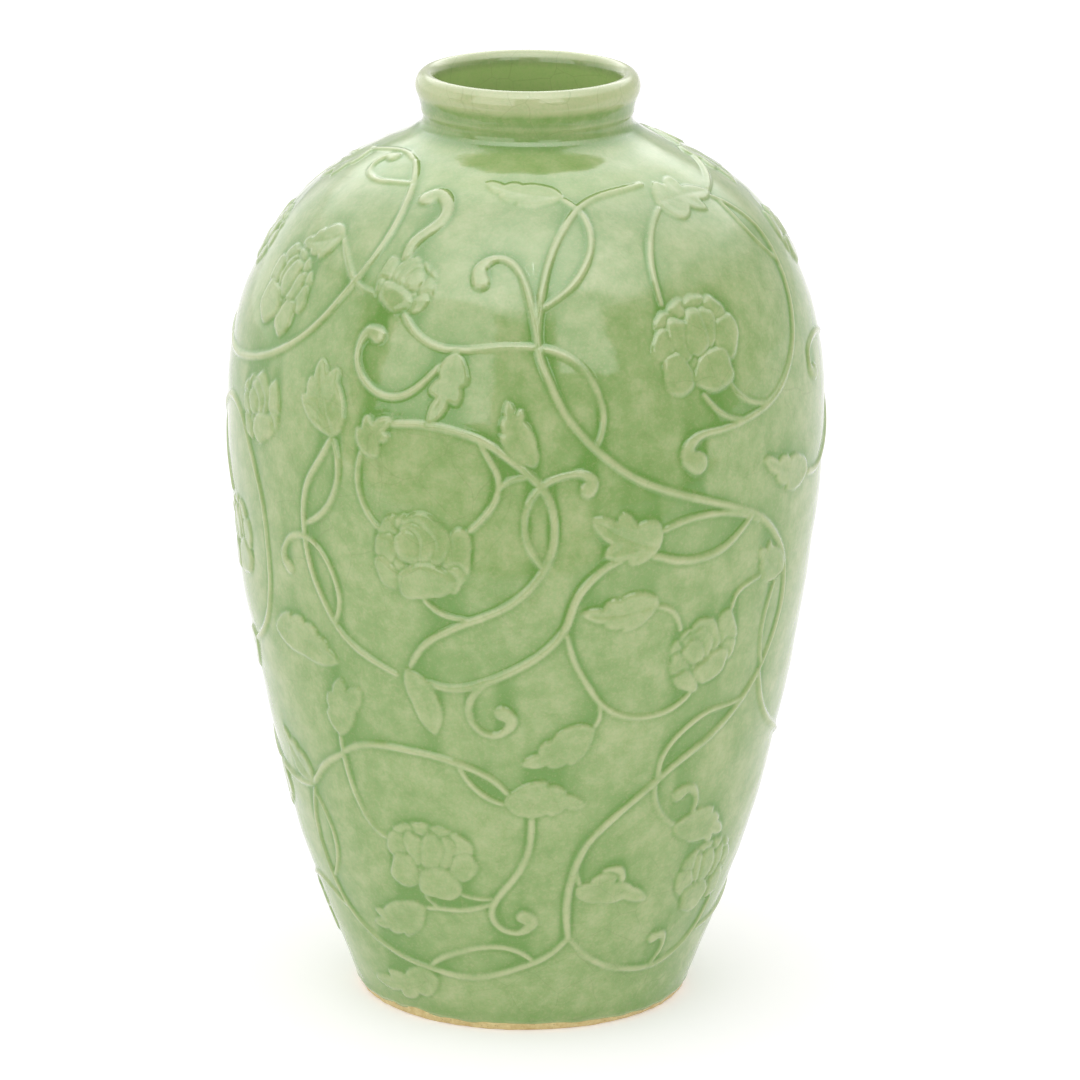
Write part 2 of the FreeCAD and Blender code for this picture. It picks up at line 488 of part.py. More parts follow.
def flower_outlines(centre, radius, turn_by):
    """A heart with two rings of petals round it, all separate."""
    outlines = [disc_outline(centre, radius * HEART)]
    bands = ((PETALS[1], radius * HEART + PETAL_GAP, radius * RING_SPLIT),
             (PETALS[0], radius * RING_SPLIT + PETAL_GAP, radius))
    for count, inner, outer in bands:
        for i in range(count):
            start = math.radians(turn_by) + 2 * math.pi * i / count
            outlines.append(petal_outline(centre, start, start + 2 * math.pi / count, inner, outer))
    return outlines


def repeats(face):
    """The flat face and its copies at every repeat of the pattern that could meet a sprig."""
    steps = range(-2 * PATTERN_REPEATS, 2 * PATTERN_REPEATS + 1)
    width = math.radians(REPEAT) * MEAN_RADIUS
    return [face.translated(Vector(width * step, 0, 0)) for step in steps]


def trimmed(face, covers):
    """The parts of a flat face that lie clear of every face laid over it."""
    near = [cover for cover in covers if cover.BoundBox.intersect(face.BoundBox)]
    left = face.cut(near) if near else face
    return [part for part in left.Faces if part.Area > SMALLEST]


def relief():
    """Sprigs by node name. A flower lies over a leaf, a leaf over a tendril, a tendril over a stem."""
    covers = []
    flowers = []
    for centre, radius, turn_by in FLOWERS.values():
        flowers += [flat_face(outline) for outline in flower_outlines(centre, radius, turn_by)]
        covers += repeats(flat_face(disc_outline(centre, radius)))
    nodes = {"flowers": flowers}
    rows = {"leaves": [leaf_outline(*leaf) for leaf in LEAVES.values()],
            "tendrils": [ribbon(path, half, tip) for half, path, tip in TENDRILS.values()],
            "vine_stems": [ribbon(path, half) for half, path in STEMS.values()]}
    for node, outlines in rows.items():
        nodes[node] = []
        for outline in outlines:
            face = flat_face(outline)
            nodes[node] += trimmed(face, covers)
            covers += repeats(face)
    return nodes


def all_round(solids):
    """The solids at every repeat of the pattern round the vase."""
    return [solid.copy().rotate(Vector(0, 0, 0), UP, REPEAT * step)
            for step in range(PATTERN_REPEATS) for solid in solids]


def save(name, solids):
    """Write one node's solids to its STEP file."""
    Part.makeCompound(solids).exportStep(f"parts/{name}.step")


os.makedirs("parts", exist_ok=True)
save("clay_body", [clay_body()])
save("neck_collar", [neck_collar()])
save("outer_glaze", [outer_glaze()])
save("inner_glaze", [inner_glaze()])
save("foot_glaze", [foot_glaze()])
for node, faces in relief().items():
    save(node, all_round([sprig(face) for face in faces]))
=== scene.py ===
"""Looks of a celadon vase: a relief glaze skin, a glazed hollow, the clay body and collar, a pale studio.

Lengths in the tables are millimetres in the frame's own axes: +Z up, the front towards -Y. A place on
the wall is (degrees round from the front towards +X, millimetres up the wall from the glaze's lower edge).
The relief repeats every half turn.
"""
import math

import bpy
import numpy as np
from mathutils import Matrix


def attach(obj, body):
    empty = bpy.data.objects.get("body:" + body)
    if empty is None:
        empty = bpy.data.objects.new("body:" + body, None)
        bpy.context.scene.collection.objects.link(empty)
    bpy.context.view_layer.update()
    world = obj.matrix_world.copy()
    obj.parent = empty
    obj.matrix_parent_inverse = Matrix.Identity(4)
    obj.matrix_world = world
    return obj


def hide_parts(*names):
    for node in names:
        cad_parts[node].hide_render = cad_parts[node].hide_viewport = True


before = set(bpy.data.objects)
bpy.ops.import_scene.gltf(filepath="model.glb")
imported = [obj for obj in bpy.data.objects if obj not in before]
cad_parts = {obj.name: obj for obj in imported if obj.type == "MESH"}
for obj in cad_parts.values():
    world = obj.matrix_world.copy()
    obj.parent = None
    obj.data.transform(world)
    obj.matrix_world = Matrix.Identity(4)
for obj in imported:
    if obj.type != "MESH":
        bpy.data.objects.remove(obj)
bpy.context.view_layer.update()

MM = 0.001

# ---------------------------------------------------------------- the vase's outline, as (radius, height)
AXIS = 0.02                   # radius of the small ring that closes a turned piece on the axis
WALL = [(42.6, 1.3), (47.6, 15), (55.0, 35), (62.3, 60), (68.6, 90), (73.3, 120), (75.8, 150),
        (73.6, 175), (66.3, 195), (56.8, 208), (45.4, 216.6), (36.4, 221.2), (30.0, 224.4), (27.3, 226.4)]
COLLAR = [(27.3, 226.4), (26.6, 227.4), (26.4, 228.6), (26.7, 230.4), (27.1, 232.2), (27.6, 233.8),
          (28.15, 235.2), (28.3, 236.6), (28.0, 238.0), (27.2, 239.3), (26.0, 239.95), (24.9, 239.8),
          (23.9, 239.0), (23.3, 237.8), (23.2, 236.0), (23.2, 233.0), (23.2, 229.0)]
HOLLOW = [(23.25, 229.4), (23.2, 226), (23.6, 222), (25.5, 219.3), (30.5, 216.6), (38.5, 212.6), (49, 205),
          (59, 194), (66.5, 177), (69.8, 150), (67.3, 120), (62.6, 90), (56.4, 60), (49, 35),
          (42.5, 17.5), (39.5, 12.6), (34, 10.6), (20, 10.4), (AXIS, 10.4)]
GLAZE = 0.4                   # depth of the glaze coats
UNDER_GLAZE = 0.6             # how far the collar's clay lies under the glaze's face
RESTING_RING = (35.2, 41.2)   # inner and outer radius of the bare ring that the vase stands on
RECESS = 3.0                  # height of the hollow under the foot

# Stretches past the wall's top, in mm up the collar and down the throat: start, full, fading, end.
COLLAR_BAND = (4.2, 5.4, 7.2, 8.6)       # greener glaze under the lip
PALE_LIP = (7.0, 9.0, 17.0, 19.0)        # glaze run thin over the lip
COLLAR_REFLECTION_BAND = (-26, -16, -4, 0)       # painted reflection of the collar: a greener band round the collar's foot
THROAT = (18.5, 21.0)                    # start and full strength of the brighter green painted as light down the throat

# ---------------------------------------------------------------- fineness of the meshes
TURN_STEPS = 1320  # columns round the vase
WALL_STEPS = 700   # rows up the wall
PERIOD = 180.0            # degrees before the relief repeats
HALF_STEPS = TURN_STEPS // 2
WALL_FINENESS = 0.05      # mm between the places that the wall's rows are picked from
COLLAR_STEP = 0.45        # mm between the skin's rows over the collar
LINING_STEP = 1.2         # mm between the lining's rows
CLAY_STEP = 1.5           # mm between the clay body's rows
STROKE_STEP = 0.35        # mm between the places that a strand is drawn through
BACKING_SHARE = 6         # rows of the skin's face for each row of its back


def smooth_line(points):
    """Natural cubic spline through the points: a function of the distance along it, and its full length."""
    points = np.array(points, float)
    step = np.hypot(*np.diff(points, axis=0).T)
    knots = np.concatenate([[0.0], np.cumsum(step)])
    count = len(points)
    matrix, right = np.eye(count), np.zeros((count, 2))
    for i in range(1, count - 1):
        matrix[i, i - 1:i + 2] = step[i - 1], 2 * (step[i - 1] + step[i]), step[i]
        right[i] = 6 * ((points[i + 1] - points[i]) / step[i] - (points[i] - points[i - 1]) / step[i - 1])
    curve = np.linalg.solve(matrix, right)

    def at(distance):
        distance = np.clip(np.asarray(distance, float), 0, knots[-1])
        i = np.clip(np.searchsorted(knots, distance, "right") - 1, 0, count - 2)
        h = step[i][..., None]
        a = ((knots[i + 1] - distance) / step[i])[..., None]
        b = 1 - a
        return (a * points[i] + b * points[i + 1]
                + ((a ** 3 - a) * curve[i] + (b ** 3 - b) * curve[i + 1]) * h ** 2 / 6)

    return at, knots[-1]


def evenly(points, spacing):
    """Places at even spacing along the smooth line through the points."""
    at, length = smooth_line(points)
    fine = at(np.linspace(0, length, 20 * len(points)))
    travelled = np.concatenate([[0.0], np.cumsum(np.hypot(*np.diff(fine, axis=0).T))])
    count = max(2, int(round(travelled[-1] / spacing)) + 1)
    wanted = np.linspace(0, travelled[-1], count)
    return np.stack([np.interp(wanted, travelled, fine[:, k]) for k in (0, 1)], axis=1)


WALL_LINE = evenly(WALL, WALL_FINENESS)
WALL_LENGTH = np.hypot(*np.diff(WALL_LINE, axis=0).T).sum()
UP = np.linspace(0, WALL_LENGTH, WALL_STEPS)      # distance up the wall of each row
WALL_ROWS = WALL_LINE[np.linspace(0, len(WALL_LINE) - 1, WALL_STEPS).round().astype(int)]
PER_DEGREE = np.radians(WALL_ROWS[:, 0])          # mm in one degree, for each row
ROW_STEP = UP[1]
COLUMN_STEP = PERIOD / HALF_STEPS


def mm_per_degree(up):
    """How many mm one degree is at a distance up the wall."""
    return np.interp(up, UP, PER_DEGREE)


# ---------------------------------------------------------------- the relief's layout
# Stems: half width in mm, and path.
STEMS = {
    "foot_loop": (0.95, [(3, 21.5), (-1, 24.6), (-6, 26), (-12, 25.4), (-18, 23.4), (-24, 20.7), (-28, 17.8),
        (-31, 14.5)]),
    "foot_join": (1.0, [(-56, 28.5), (-61, 30.8), (-66, 33.3), (-72, 34.3), (-80, 32.5), (-90, 29.3),
        (-100, 25.8), (-110, 23.4), (-119, 22.6)]),
    "foot_eye": (0.95, [(-57.3, 62.5), (-54.4, 57.5), (-53.1, 51), (-54.5, 44.5), (-58.7, 38.5)]),
    "foot_right": (1.1, [(12.6, 28.8), (15.5, 25.3), (20, 21.3), (26, 18), (33, 16.1), (40.5, 15.1),
        (48, 16.2), (55, 19.6), (60, 25), (62.5, 31)]),
    "foot_left": (1.15, [(12.4, 29), (10, 25.8), (5, 22), (0, 19.7), (-7, 17.1), (-14, 15.6), (-21, 15.6),
        (-28, 16.6), (-36, 18), (-43, 20.3), (-50, 23.7), (-56, 28.3), (-59, 34), (-60.4, 42), (-60.8, 50),
        (-59.6, 57), (-57.3, 63.5)]),
    "spray_drop": (0.9, [(12.9, 50), (14, 45.5), (16.5, 41.5), (20, 39)]),
    "right_drop": (0.95, [(30.6, 74), (30.6, 69.5), (32, 65.5), (35, 61.5), (39, 58.5)]),
    "lower_trunk": (1.35, [(57.8, 97.5), (53, 91.5), (47.5, 86), (41, 81.3), (35, 77.4), (30, 73),
        (25, 68.5), (19.5, 63), (15.2, 57.5), (12.8, 51), (11.5, 44), (11.3, 37.5), (12.4, 29)]),
    "right_eye": (1.05, [(30.8, 74.5), (31.2, 79.5), (33.8, 84.5), (38, 88.3), (43, 90.6), (48, 90.8),
        (52, 91.3)]),
    "side_eye": (0.95, [(58, 121.5), (56.6, 116.5), (56, 111), (56.5, 105.5), (58.2, 99)]),
    "crown_loop": (1.1, [(9.5, 232), (12.5, 229), (15.3, 225.3), (16.4, 220.3), (15.7, 215), (13, 209),
        (9, 203.8), (5.5, 200.8), (2.4, 198.3)]),
    "bridge": (1.05, [(-27, 198), (-24.5, 193.8), (-20.5, 190), (-15, 188.4), (-8, 189.1), (-1, 189.6),
        (4, 189), (8.3, 187), (11.8, 182.8), (14, 177), (14.6, 171), (13.2, 165)]),
    "upper_trunk": (1.25, [(41, 233.2), (30, 232.2), (21, 230.2), (15.5, 227.2), (10, 221), (6, 213.5),
        (3.4, 204), (2.4, 196), (2.4, 189), (4.5, 181), (8, 172), (13, 164.5), (20, 157), (28, 152),
        (36, 148.3), (44, 144.6), (51, 140.3), (55.5, 135.5), (59.5, 129.5), (62, 121), (62.2, 112),
        (60.8, 104.5), (57.8, 97.5)]),
    "belt_loop": (1.05, [(25.5, 141.6), (29, 143.3), (34, 144.5), (40, 144.3), (45.5, 142.6), (50, 140)]),
    "belt": (1.4, [(-22.5, 103.6), (-19.5, 102.2), (-15, 101.3), (-9.5, 102.8), (-4, 105.8), (1, 109.4),
        (5.3, 113.8), (8.3, 119.5), (9.8, 125.5), (12.8, 131), (17, 135), (21.5, 136.8), (25.3, 135.8),
        (29.5, 134), (35.5, 133.4), (41, 135), (45, 138.3), (48, 142)]),
    "ring_spur": (0.9, [(15.3, 97.6), (15.7, 94.5), (14.5, 90.5)]),
    "bud_twig": (0.85, [(24.5, 122.3), (28.5, 121.5), (31, 118.7), (32.2, 115)]),
    "bud_stem": (0.95, [(53, 124.8), (49, 123.8), (45.6, 121.3), (44.7, 117.5)]),
    "ring": (1.0, [(8.2, 116.5), (9.8, 109.5), (12.3, 103.6), (15.5, 97.8), (20, 93.8), (25.5, 92.5),
        (31, 93.2), (35.3, 96), (38.3, 99.8)]),
    "arch_drop": (0.95, [(-20, 125.5), (-17, 122), (-13, 120.5), (-9.5, 120.3)]),
    "arch_spur": (1.0, [(-8.6, 166.3), (-6.6, 161.8), (-5, 157.3), (-5.3, 152.8), (-7.8, 147.2),
        (-11.5, 142.5)]),
    "arch_fork": (0.9, [(-5.0, 154.6), (-3.6, 156.4), (-1.3, 157.6), (1.0, 158.0)]),
    "arch": (1.3, [(-26, 169), (-20, 169.7), (-13.5, 168.7), (-8, 166.5), (-3.5, 162.8), (1.2, 157.8),
        (4.2, 152.6), (5.4, 146.5), (5.3, 140.5), (3.5, 134), (0, 127.8), (-5, 123), (-10.5, 119.8),
        (-16, 116.2), (-20.5, 111.8), (-23.2, 106.5)]),
    "heart_left": (0.95, [(-32, 161.5), (-32.8, 155.5), (-32.2, 149.5), (-29.8, 143.8), (-27, 140.3)]),
    "left_loop": (1.05, [(-38.8, 163.5), (-37.5, 158), (-37.6, 152.5), (-39.3, 147), (-42.3, 142.5),
        (-46.8, 139)]),
    "left_trunk": (1.2, [(-38.8, 163.5), (-41.5, 157.5), (-44.3, 152.2), (-46.3, 146.5), (-46.9, 140.5),
        (-46.6, 133.5), (-45.3, 126), (-42.7, 118.5), (-38.8, 111.7), (-33, 107), (-26.5, 103.5)]),
    "side_drop": (0.95, [(88, 154), (91, 148.5), (95.5, 143.5), (99.5, 137.5)]),
    "side_sweep": (1.2, [(66, 148), (73, 146.3), (80, 148.5), (88, 154), (96, 160), (104, 163.3),
        (110.5, 160), (115, 152.5), (118, 144.5), (119.5, 136), (119.5, 127), (118.5, 117), (116.5, 110),
        (112, 104), (105, 99.5)]),
    "left_cross": (1.0, [(-51, 213.5), (-46.5, 209), (-42.5, 204.3), (-39, 201.3), (-34, 199.8)]),
    "top_join": (1.05, [(-50, 240.6), (-60, 242.6), (-72, 241.5), (-84, 237.5), (-95, 233), (-106, 228.6),
        (-115, 225.5)]),
    "left_sweep": (1.15, [(-50, 240.6), (-45.5, 237.8), (-41.3, 233.6), (-38.3, 228.3), (-36.6, 222),
        (-36.6, 215.5), (-38, 208.5), (-40.6, 201.5), (-44.3, 194.2), (-49, 187.5), (-54.5, 182.3),
        (-61, 178.3), (-69, 175.6), (-78, 174.5), (-88, 176)]),
    "crown_stem": (1.05, [(42, 225.5), (37, 221.8), (33, 217.2), (30.3, 211.5), (29.3, 205), (29.5, 198.5)]),
    "crown_eye": (0.95, [(64.5, 222), (64.8, 216), (66, 210.5), (68.8, 205), (71.6, 201)]),
    "bloom_foot_a": (0.85, [(36, 175), (38.5, 171), (42, 168), (46, 166.8)]),
    "bloom_foot_b": (0.85, [(42.5, 177), (45, 173), (49, 170.2), (53.5, 169.3)]),
    "low_eye": (0.95, [(-14.5, 80.3), (-12.3, 75.8), (-9.3, 72.3), (-5.5, 70), (-1.5, 69)]),
    "low_stem": (1.0, [(-43, 83.5), (-42.9, 77), (-42.2, 70), (-40, 63), (-36.5, 58), (-33, 55.5)]),
    "low_bridge": (1.2, [(-43, 78.5), (-39, 81), (-33, 82.8), (-26, 82.7), (-19.5, 81.9), (-14, 80.2),
        (-9, 77.9), (-5.2, 74.8), (-2.5, 71)]),
    "back_join": (1.25, [(57.5, 97.5), (59.5, 91.8), (63.5, 85), (69, 80), (77, 75.5), (86, 71.5),
        (96, 67.5), (106, 64.8), (116, 64), (123, 66), (128, 71), (132.5, 75), (137, 78)]),
    "low_foot_a": (0.8, [(-17, 42.6), (-12.5, 41.4), (-8, 41.3)]),
    "low_foot_b": (0.8, [(-26.5, 42.5), (-25, 39.5), (-22, 37.2)]),
    "low_twig": (0.95, [(-7.3, 40.3), (-11, 38.6), (-16.5, 37.2), (-22.5, 36.9), (-28, 36.3)]),
}

# Tendrils: half width in mm, path, and radius of the round tip at the path's end.
TENDRILS = {
    "crown": (1.2, [(2.4, 190.5), (1.4, 197.5), (0.2, 203.5), (-1.8, 208.8), (-5, 211.8), (-8.8, 211.3),
        (-10.8, 208.3), (-10.2, 205.8)], 2.0),
    "hook": (1.05, [(-14, 187.6), (-17.5, 183.3), (-20.5, 179.3), (-24.5, 176), (-28.5, 175.8),
        (-32.3, 178.3), (-34.8, 183), (-34.8, 187.5), (-33, 190.6), (-31, 190)], 1.8),
    "swan": (2.1, [(-29, 209), (-29, 214), (-26.5, 218), (-23.8, 221.5), (-23.3, 225.5), (-25.5, 229),
        (-29, 230.6), (-31.5, 228.6)], 2.2),
    "top_left": (1.0, [(-41.5, 232.8), (-48, 231.9), (-56, 230.8), (-63, 232), (-67.5, 235.5), (-66.5, 239),
        (-63, 239.5)], 1.7),
    "side_curl": (1.0, [(-88, 176), (-98, 179.2), (-104.5, 179), (-108.3, 175.8), (-108, 172),
        (-105.5, 171)], 1.8),
    "bean": (1.05, [(62, 225), (66.5, 220.5), (70, 215), (71.9, 208.5), (71.6, 201.5), (70, 193.5),
        (67, 185), (63, 177.8), (58, 172.3), (52, 168.6), (45, 166.5), (38, 165.5), (33.2, 164.2),
        (31.5, 160.8), (33.8, 158.3)], 2.6),
    "arch_hook": (1.05, [(3.6, 134.2), (1.5, 138), (0, 143), (0, 148.5), (1.5, 153.2), (4.5, 156.8),
        (8, 158.3), (11.2, 158), (12.4, 156), (11.6, 154.3)], 1.8),
    "left_hook": (1.0, [(-40.6, 114.5), (-38.9, 120.5), (-39.6, 126.5), (-42, 132.3), (-46, 135.6),
        (-50.3, 135), (-53.3, 131.5), (-54, 128), (-52.6, 126)], 1.6),
    "belt_curl": (1.15, [(-8, 103), (-10.6, 99.3), (-11.4, 95), (-10, 91), (-7, 88.9), (-3.8, 90.3),
        (-2.6, 93.4), (-4.4, 95.3)], 1.9),
    "low_curl": (1.1, [(1.8, 68), (1.8, 62.5), (1.4, 57), (-0.3, 51.3), (-3.5, 45.8), (-6.8, 41), (-8, 36.8),
        (-6.5, 33), (-3, 31), (0.7, 31.8), (2.2, 34.3), (0.4, 36)], 1.9),
    "right_curl": (1.0, [(39, 58.5), (42.6, 61.5), (43.2, 66), (40.6, 69.4), (37.4, 68.2)], 1.8),
    "spray_curl": (0.95, [(20, 39), (24.2, 41.5), (25.2, 45.5), (23.6, 48.6), (21.3, 47.9)], 1.8),
    "foot_curl": (0.9, [(42, 15.5), (44, 18.5), (44.7, 22), (43, 25), (40, 24.8)], 1.5),
}

# Leaves: stalk end, tip, half width in mm, and the kind of blade.
LEAVES = {
    "crown": ((11, 231.2), (-15, 236.5), 4.6, "leaf"),
    "shoulder": ((41, 226), (65, 225), 7.0, "maple"),
    "left_shoulder": ((-50, 213), (-63, 208), 5.0, "leaf"),
    "left_high": ((-38.8, 163.5), (-43.5, 182), 7.0, "cup"),
    "hanging": ((-13.5, 187.5), (-18.6, 169.8), 4.4, "lance"),
    "inner_left": ((-32, 161.5), (-26, 170.5), 4.4, "maple"),
    "dark": ((1.5, 160.5), (-3.5, 176.5), 3.8, "cup"),
    "centre": ((26, 138), (12.5, 147), 6.6, "maple"),
    "pale": ((26.5, 123.2), (11.2, 121.8), 5.0, "leaf"),
    "drop": ((-24.2, 105.5), (-18.8, 88), 4.3, "drop"),
    "left_belt": ((-60, 108), (-40.8, 103.5), 6.0, "saw"),
    "low_left": ((-43, 83.5), (-38, 98.5), 5.4, "horned"),
    "mid_right": ((14.5, 90.5), (-0.4, 80.6), 5.2, "leaf"),
    "low_mid": ((-4, 70.6), (14.0, 69), 5.4, "leaf"),
    "low_plain": ((-26.5, 36.6), (-46, 27.2), 5.0, "cup"),
    "foot": ((-27, 13.5), (-55, 8), 4.6, "maple"),
    "low_edge": ((-57.5, 66), (-67.5, 78), 5.0, "leaf"),
    "spray": ((13.5, 44), (33.6, 39.0), 4.6, "fingers"),
    "right_low": ((38, 59), (56.5, 52.8), 4.8, "cup"),
    "right_high": ((68, 147.5), (51, 155.3), 4.6, "leaf"),
    "side": ((60.5, 123.5), (51.5, 131.8), 4.8, "cup"),
    "back_low": ((104, 65.2), (97.5, 51), 4.8, "leaf"),
    "back_high": ((-84, 237.5), (-93, 222), 6.0, "maple"),
    "back_foot": ((-90, 29), (-80, 15), 5.4, "maple"),
    "back_belt": ((105, 100), (90, 91), 5.4, "leaf"),
}

# Flowers: centre, radius in mm, turn in degrees, -1 for one drawn the other way round, and the kind.
FLOWERS = {
    "upper_bloom": ((36.5, 186.8), 12.6, 0, 1, "ruffled"),
    "centre_bloom": ((-19.8, 136.2), 12.0, 4, 1, "cupped"),
    "lower_bloom": ((-22.8, 51), 11.6, -14, 1, "ruffled"),
    "small_bloom": ((-27.6, 203.8), 7.8, -20, -1, "cupped"),
    "right_bloom": ((54, 40.5), 10.6, 10, -1, "ruffled"),
    "bud": ((39.0, 108.0), 10.2, 30, 1, "cupped"),
    "left_bloom": ((-62, 195.5), 10.8, -15, -1, "ruffled"),
    "left_bud": ((-61, 165), 9.4, 20, 1, "cupped"),
    "back_bloom": ((104, 127), 10.4, 8, 1, "ruffled"),
    "back_upper_bloom": ((90, 204), 9.0, -20, -1, "cupped"),
}

# Corners of the leaf blades, as shares of length and half width, from the stalk along one edge to the tip
# at (1, 0) and back along the other. Every side between two corners swells outwards.
BLADES = {
    "maple": [(0, 0.08), (0.22, 0.92), (0.33, 0.62), (0.6, 0.98), (0.6, 0.4), (1.0, 0.0), (0.66, -0.36),
        (0.66, -0.84), (0.42, -0.58), (0.2, -1.0), (0, -0.08)],
    "leaf": [(0, 0.08), (0.46, 0.96), (0.48, 0.7), (0.72, 0.56), (0.7, 0.36), (1.0, 0.0), (0.8, -0.34),
        (0.74, -0.26), (0.6, -0.78), (0.52, -0.7), (0.24, -0.88), (0, -0.08)],
    "cup": [(0, 0.08), (0.58, 1.0), (0.56, 0.7), (0.8, 0.52), (0.74, 0.34), (1.0, 0.0), (0.76, -0.3),
        (0.82, -0.8), (0.66, -0.74), (0.22, -0.78), (0, -0.08)],
    "lance": [(0, 0.1), (0.3, 0.96), (0.36, 0.62), (0.6, 0.86), (0.6, 0.32), (1.0, 0.0), (0.62, -0.34),
        (0.58, -0.96), (0.38, -0.62), (0.26, -0.8), (0, -0.1)],
    "drop": [(0, 0.06), (0.5, 0.8), (1.0, 0.0), (0.5, -0.8), (0, -0.06)],
    "saw": [(0, 0.1), (0.24, 0.92), (0.27, 0.72), (0.45, 0.96), (0.48, 0.74), (0.66, 0.82), (0.68, 0.56),
        (0.84, 0.52), (0.83, 0.34), (1.0, 0.0), (0.5, -0.72), (0, -0.1)],
    "fingers": [(0, 0.16), (0.14, 0.42), (0.2, 0.96), (0.44, 0.9), (0.42, 0.36), (0.74, 0.3), (1.0, -0.16),
        (0.66, -0.44), (0.34, -0.86), (0.06, -0.52), (0, -0.16)],
    "horned": [(0, 0.1), (0.2, 0.86), (0.32, 0.72), (0.56, 0.98), (0.62, 0.72), (0.98, 0.6), (0.8, 0.1),
        (1.0, -0.52), (0.56, -0.76), (0, -0.1)],
}
SWELL = 0.13              # how far a blade's sides swell, as a share of their length
SIDE_STEPS = 5            # straight pieces in each swelling side

# Petals of the two kinds of peony from the back to the front: where the middle is and how long and wide the
# half petal is, as shares of the flower's radius, the slant of the long side in degrees, and the height.
PEONIES = {
    "ruffled": [(-0.32, 0.82, 0.28, 0.17, 20, 0.62), (0.14, 0.88, 0.3, 0.18, -8, 0.64),
        (-0.68, 0.56, 0.26, 0.2, 48, 0.66), (0.52, 0.66, 0.32, 0.28, -48, 0.74),
        (-0.78, 0.12, 0.34, 0.25, 78, 0.72), (0.7, 0.12, 0.4, 0.3, 72, 0.8),
        (-0.38, 0.22, 0.42, 0.24, 108, 0.84), (0.22, 0.34, 0.44, 0.24, 78, 0.82),
        (-0.02, 0.3, 0.48, 0.26, 92, 0.96), (-0.56, -0.52, 0.42, 0.32, 100, 0.94),
        (0.26, -0.54, 0.5, 0.42, 14, 1.08)],
    "cupped": [(-0.64, 0.62, 0.3, 0.2, 50, 0.62), (-0.3, 0.78, 0.24, 0.17, 20, 0.62),
        (-0.76, 0.14, 0.38, 0.26, 84, 0.7), (0.74, 0.0, 0.58, 0.28, 80, 0.78),
        (-0.76, -0.42, 0.42, 0.24, 118, 0.84), (0.08, 0.36, 0.56, 0.5, 100, 0.74),
        (-0.1, 0.28, 0.47, 0.4, 100, 0.88), (-0.28, 0.22, 0.37, 0.28, 96, 1.04),
        (0.58, -0.52, 0.3, 0.24, 50, 0.84), (0.02, -0.58, 0.6, 0.38, 4, 1.1)],
}

# Heights, depths and widths of the relief, in mm unless said otherwise.
STEM_HEIGHT = 0.56        # height of a main stem's crest above the ground
STEM_SLIMNESS = 0.77      # how much of a strand's width stays above the glaze that pools at its foot
TIP_SWELL = 1.15          # how much wider than drawn a tendril's round tip is, to stand the softening
LEAF_HEIGHT = 0.46
LEAF_EDGE = 0.9           # width of a leaf's rounded edge
LEAF_BOW = 0.06           # how far a leaf bends to one side, as a share of its length
LEAF_GROWTH = 0.2         # how much wider than its outline a leaf is laid
PETAL_HEIGHT = 0.62
PETAL_EDGE = 1.3          # width of a petal's rounded edge
PETAL_POWER = 2.3         # 2 makes a petal a plain oval and more makes it squarer
BLOOM_WIDTH, BLOOM_HEIGHT = 1.04, 0.94    # how a flower is stretched from its table of petals
STEM_TONE, LEAF_TONE, PETAL_TONE = 1.0, 0.75, 0.55   # how strongly the edges of each are coloured
MIDRIB = 0.10             # depth of the groove along a leaf
NOTCH = 0.9               # width of the dip beside a piece that lies over another
SOFTENING = 0.33          # how far the glaze rounds the carving
SEEN_WIDE, SEEN_NEAR = 5.0, 1.0       # softenings that the ground is compared with
RUN_DOWN, RUN_ROUND = 3.4, 2.6        # how far pooled glaze reaches above relief, and between pieces of it

# How strongly the relief colours the glaze.
OUTLINE_GAIN, OUTLINE = 6.5, 0.43     # the dark line beside an edge: how sharp and how dark
ABOVE, BETWEEN = 1.8, 6.0             # glaze pooled above relief, and enclosed by it
RIDGE_GAIN, RIDGE = 5.0, 0.42         # the pale line along an edge: how sharp and how pale
FLAT = 0.13                           # paleness of everything raised


class Ground:
    """Heights on the unrolled wall over one period of the relief, one row per distance up the wall."""

    def __init__(self):
        self.height = np.zeros((WALL_STEPS, HALF_STEPS))
        self.tone = np.ones((WALL_STEPS, HALF_STEPS))      # how strongly the glaze shows edges here

    def window(self, places, margin):
        """Rows, columns, angles and distances of the patch that holds the places and a margin in mm."""
        places = np.array(places, float)
        low, high = places[:, 1].min() - margin, places[:, 1].max() + margin
        rows = np.arange(max(0, int(low / ROW_STEP)), min(WALL_STEPS, int(high / ROW_STEP) + 2))
        side = margin / mm_per_degree(np.clip([low, high], 0, WALL_LENGTH)).min()
        first = int(math.floor((places[:, 0].min() - side) / COLUMN_STEP))
        last = int(math.ceil((places[:, 0].max() + side) / COLUMN_STEP)) + 1
        columns = np.arange(first, last)
        return rows, columns % HALF_STEPS, columns * COLUMN_STEP, UP[rows]

    def lay(self, rows, columns, body, outside, tone, notch=NOTCH, strength=0.85, keep=0.3):
        """Puts a raised body over what is there. outside is the distance beyond its outline, tone how
        strongly its edges are coloured, strength how deep a dip it leaves beside itself, and keep how
        much shows of what it covers."""
        here = np.ix_(rows, columns)
        below = self.height[here]
        beside = np.clip(outside / notch, 0, 1)
        dip = 1 - strength * (1 - beside * beside * (3 - 2 * beside))
        self.height[here] = np.where(outside < 0, np.maximum(body, below * keep), below * dip)
        self.tone[here] = np.where(outside < 0, tone, self.tone[here])


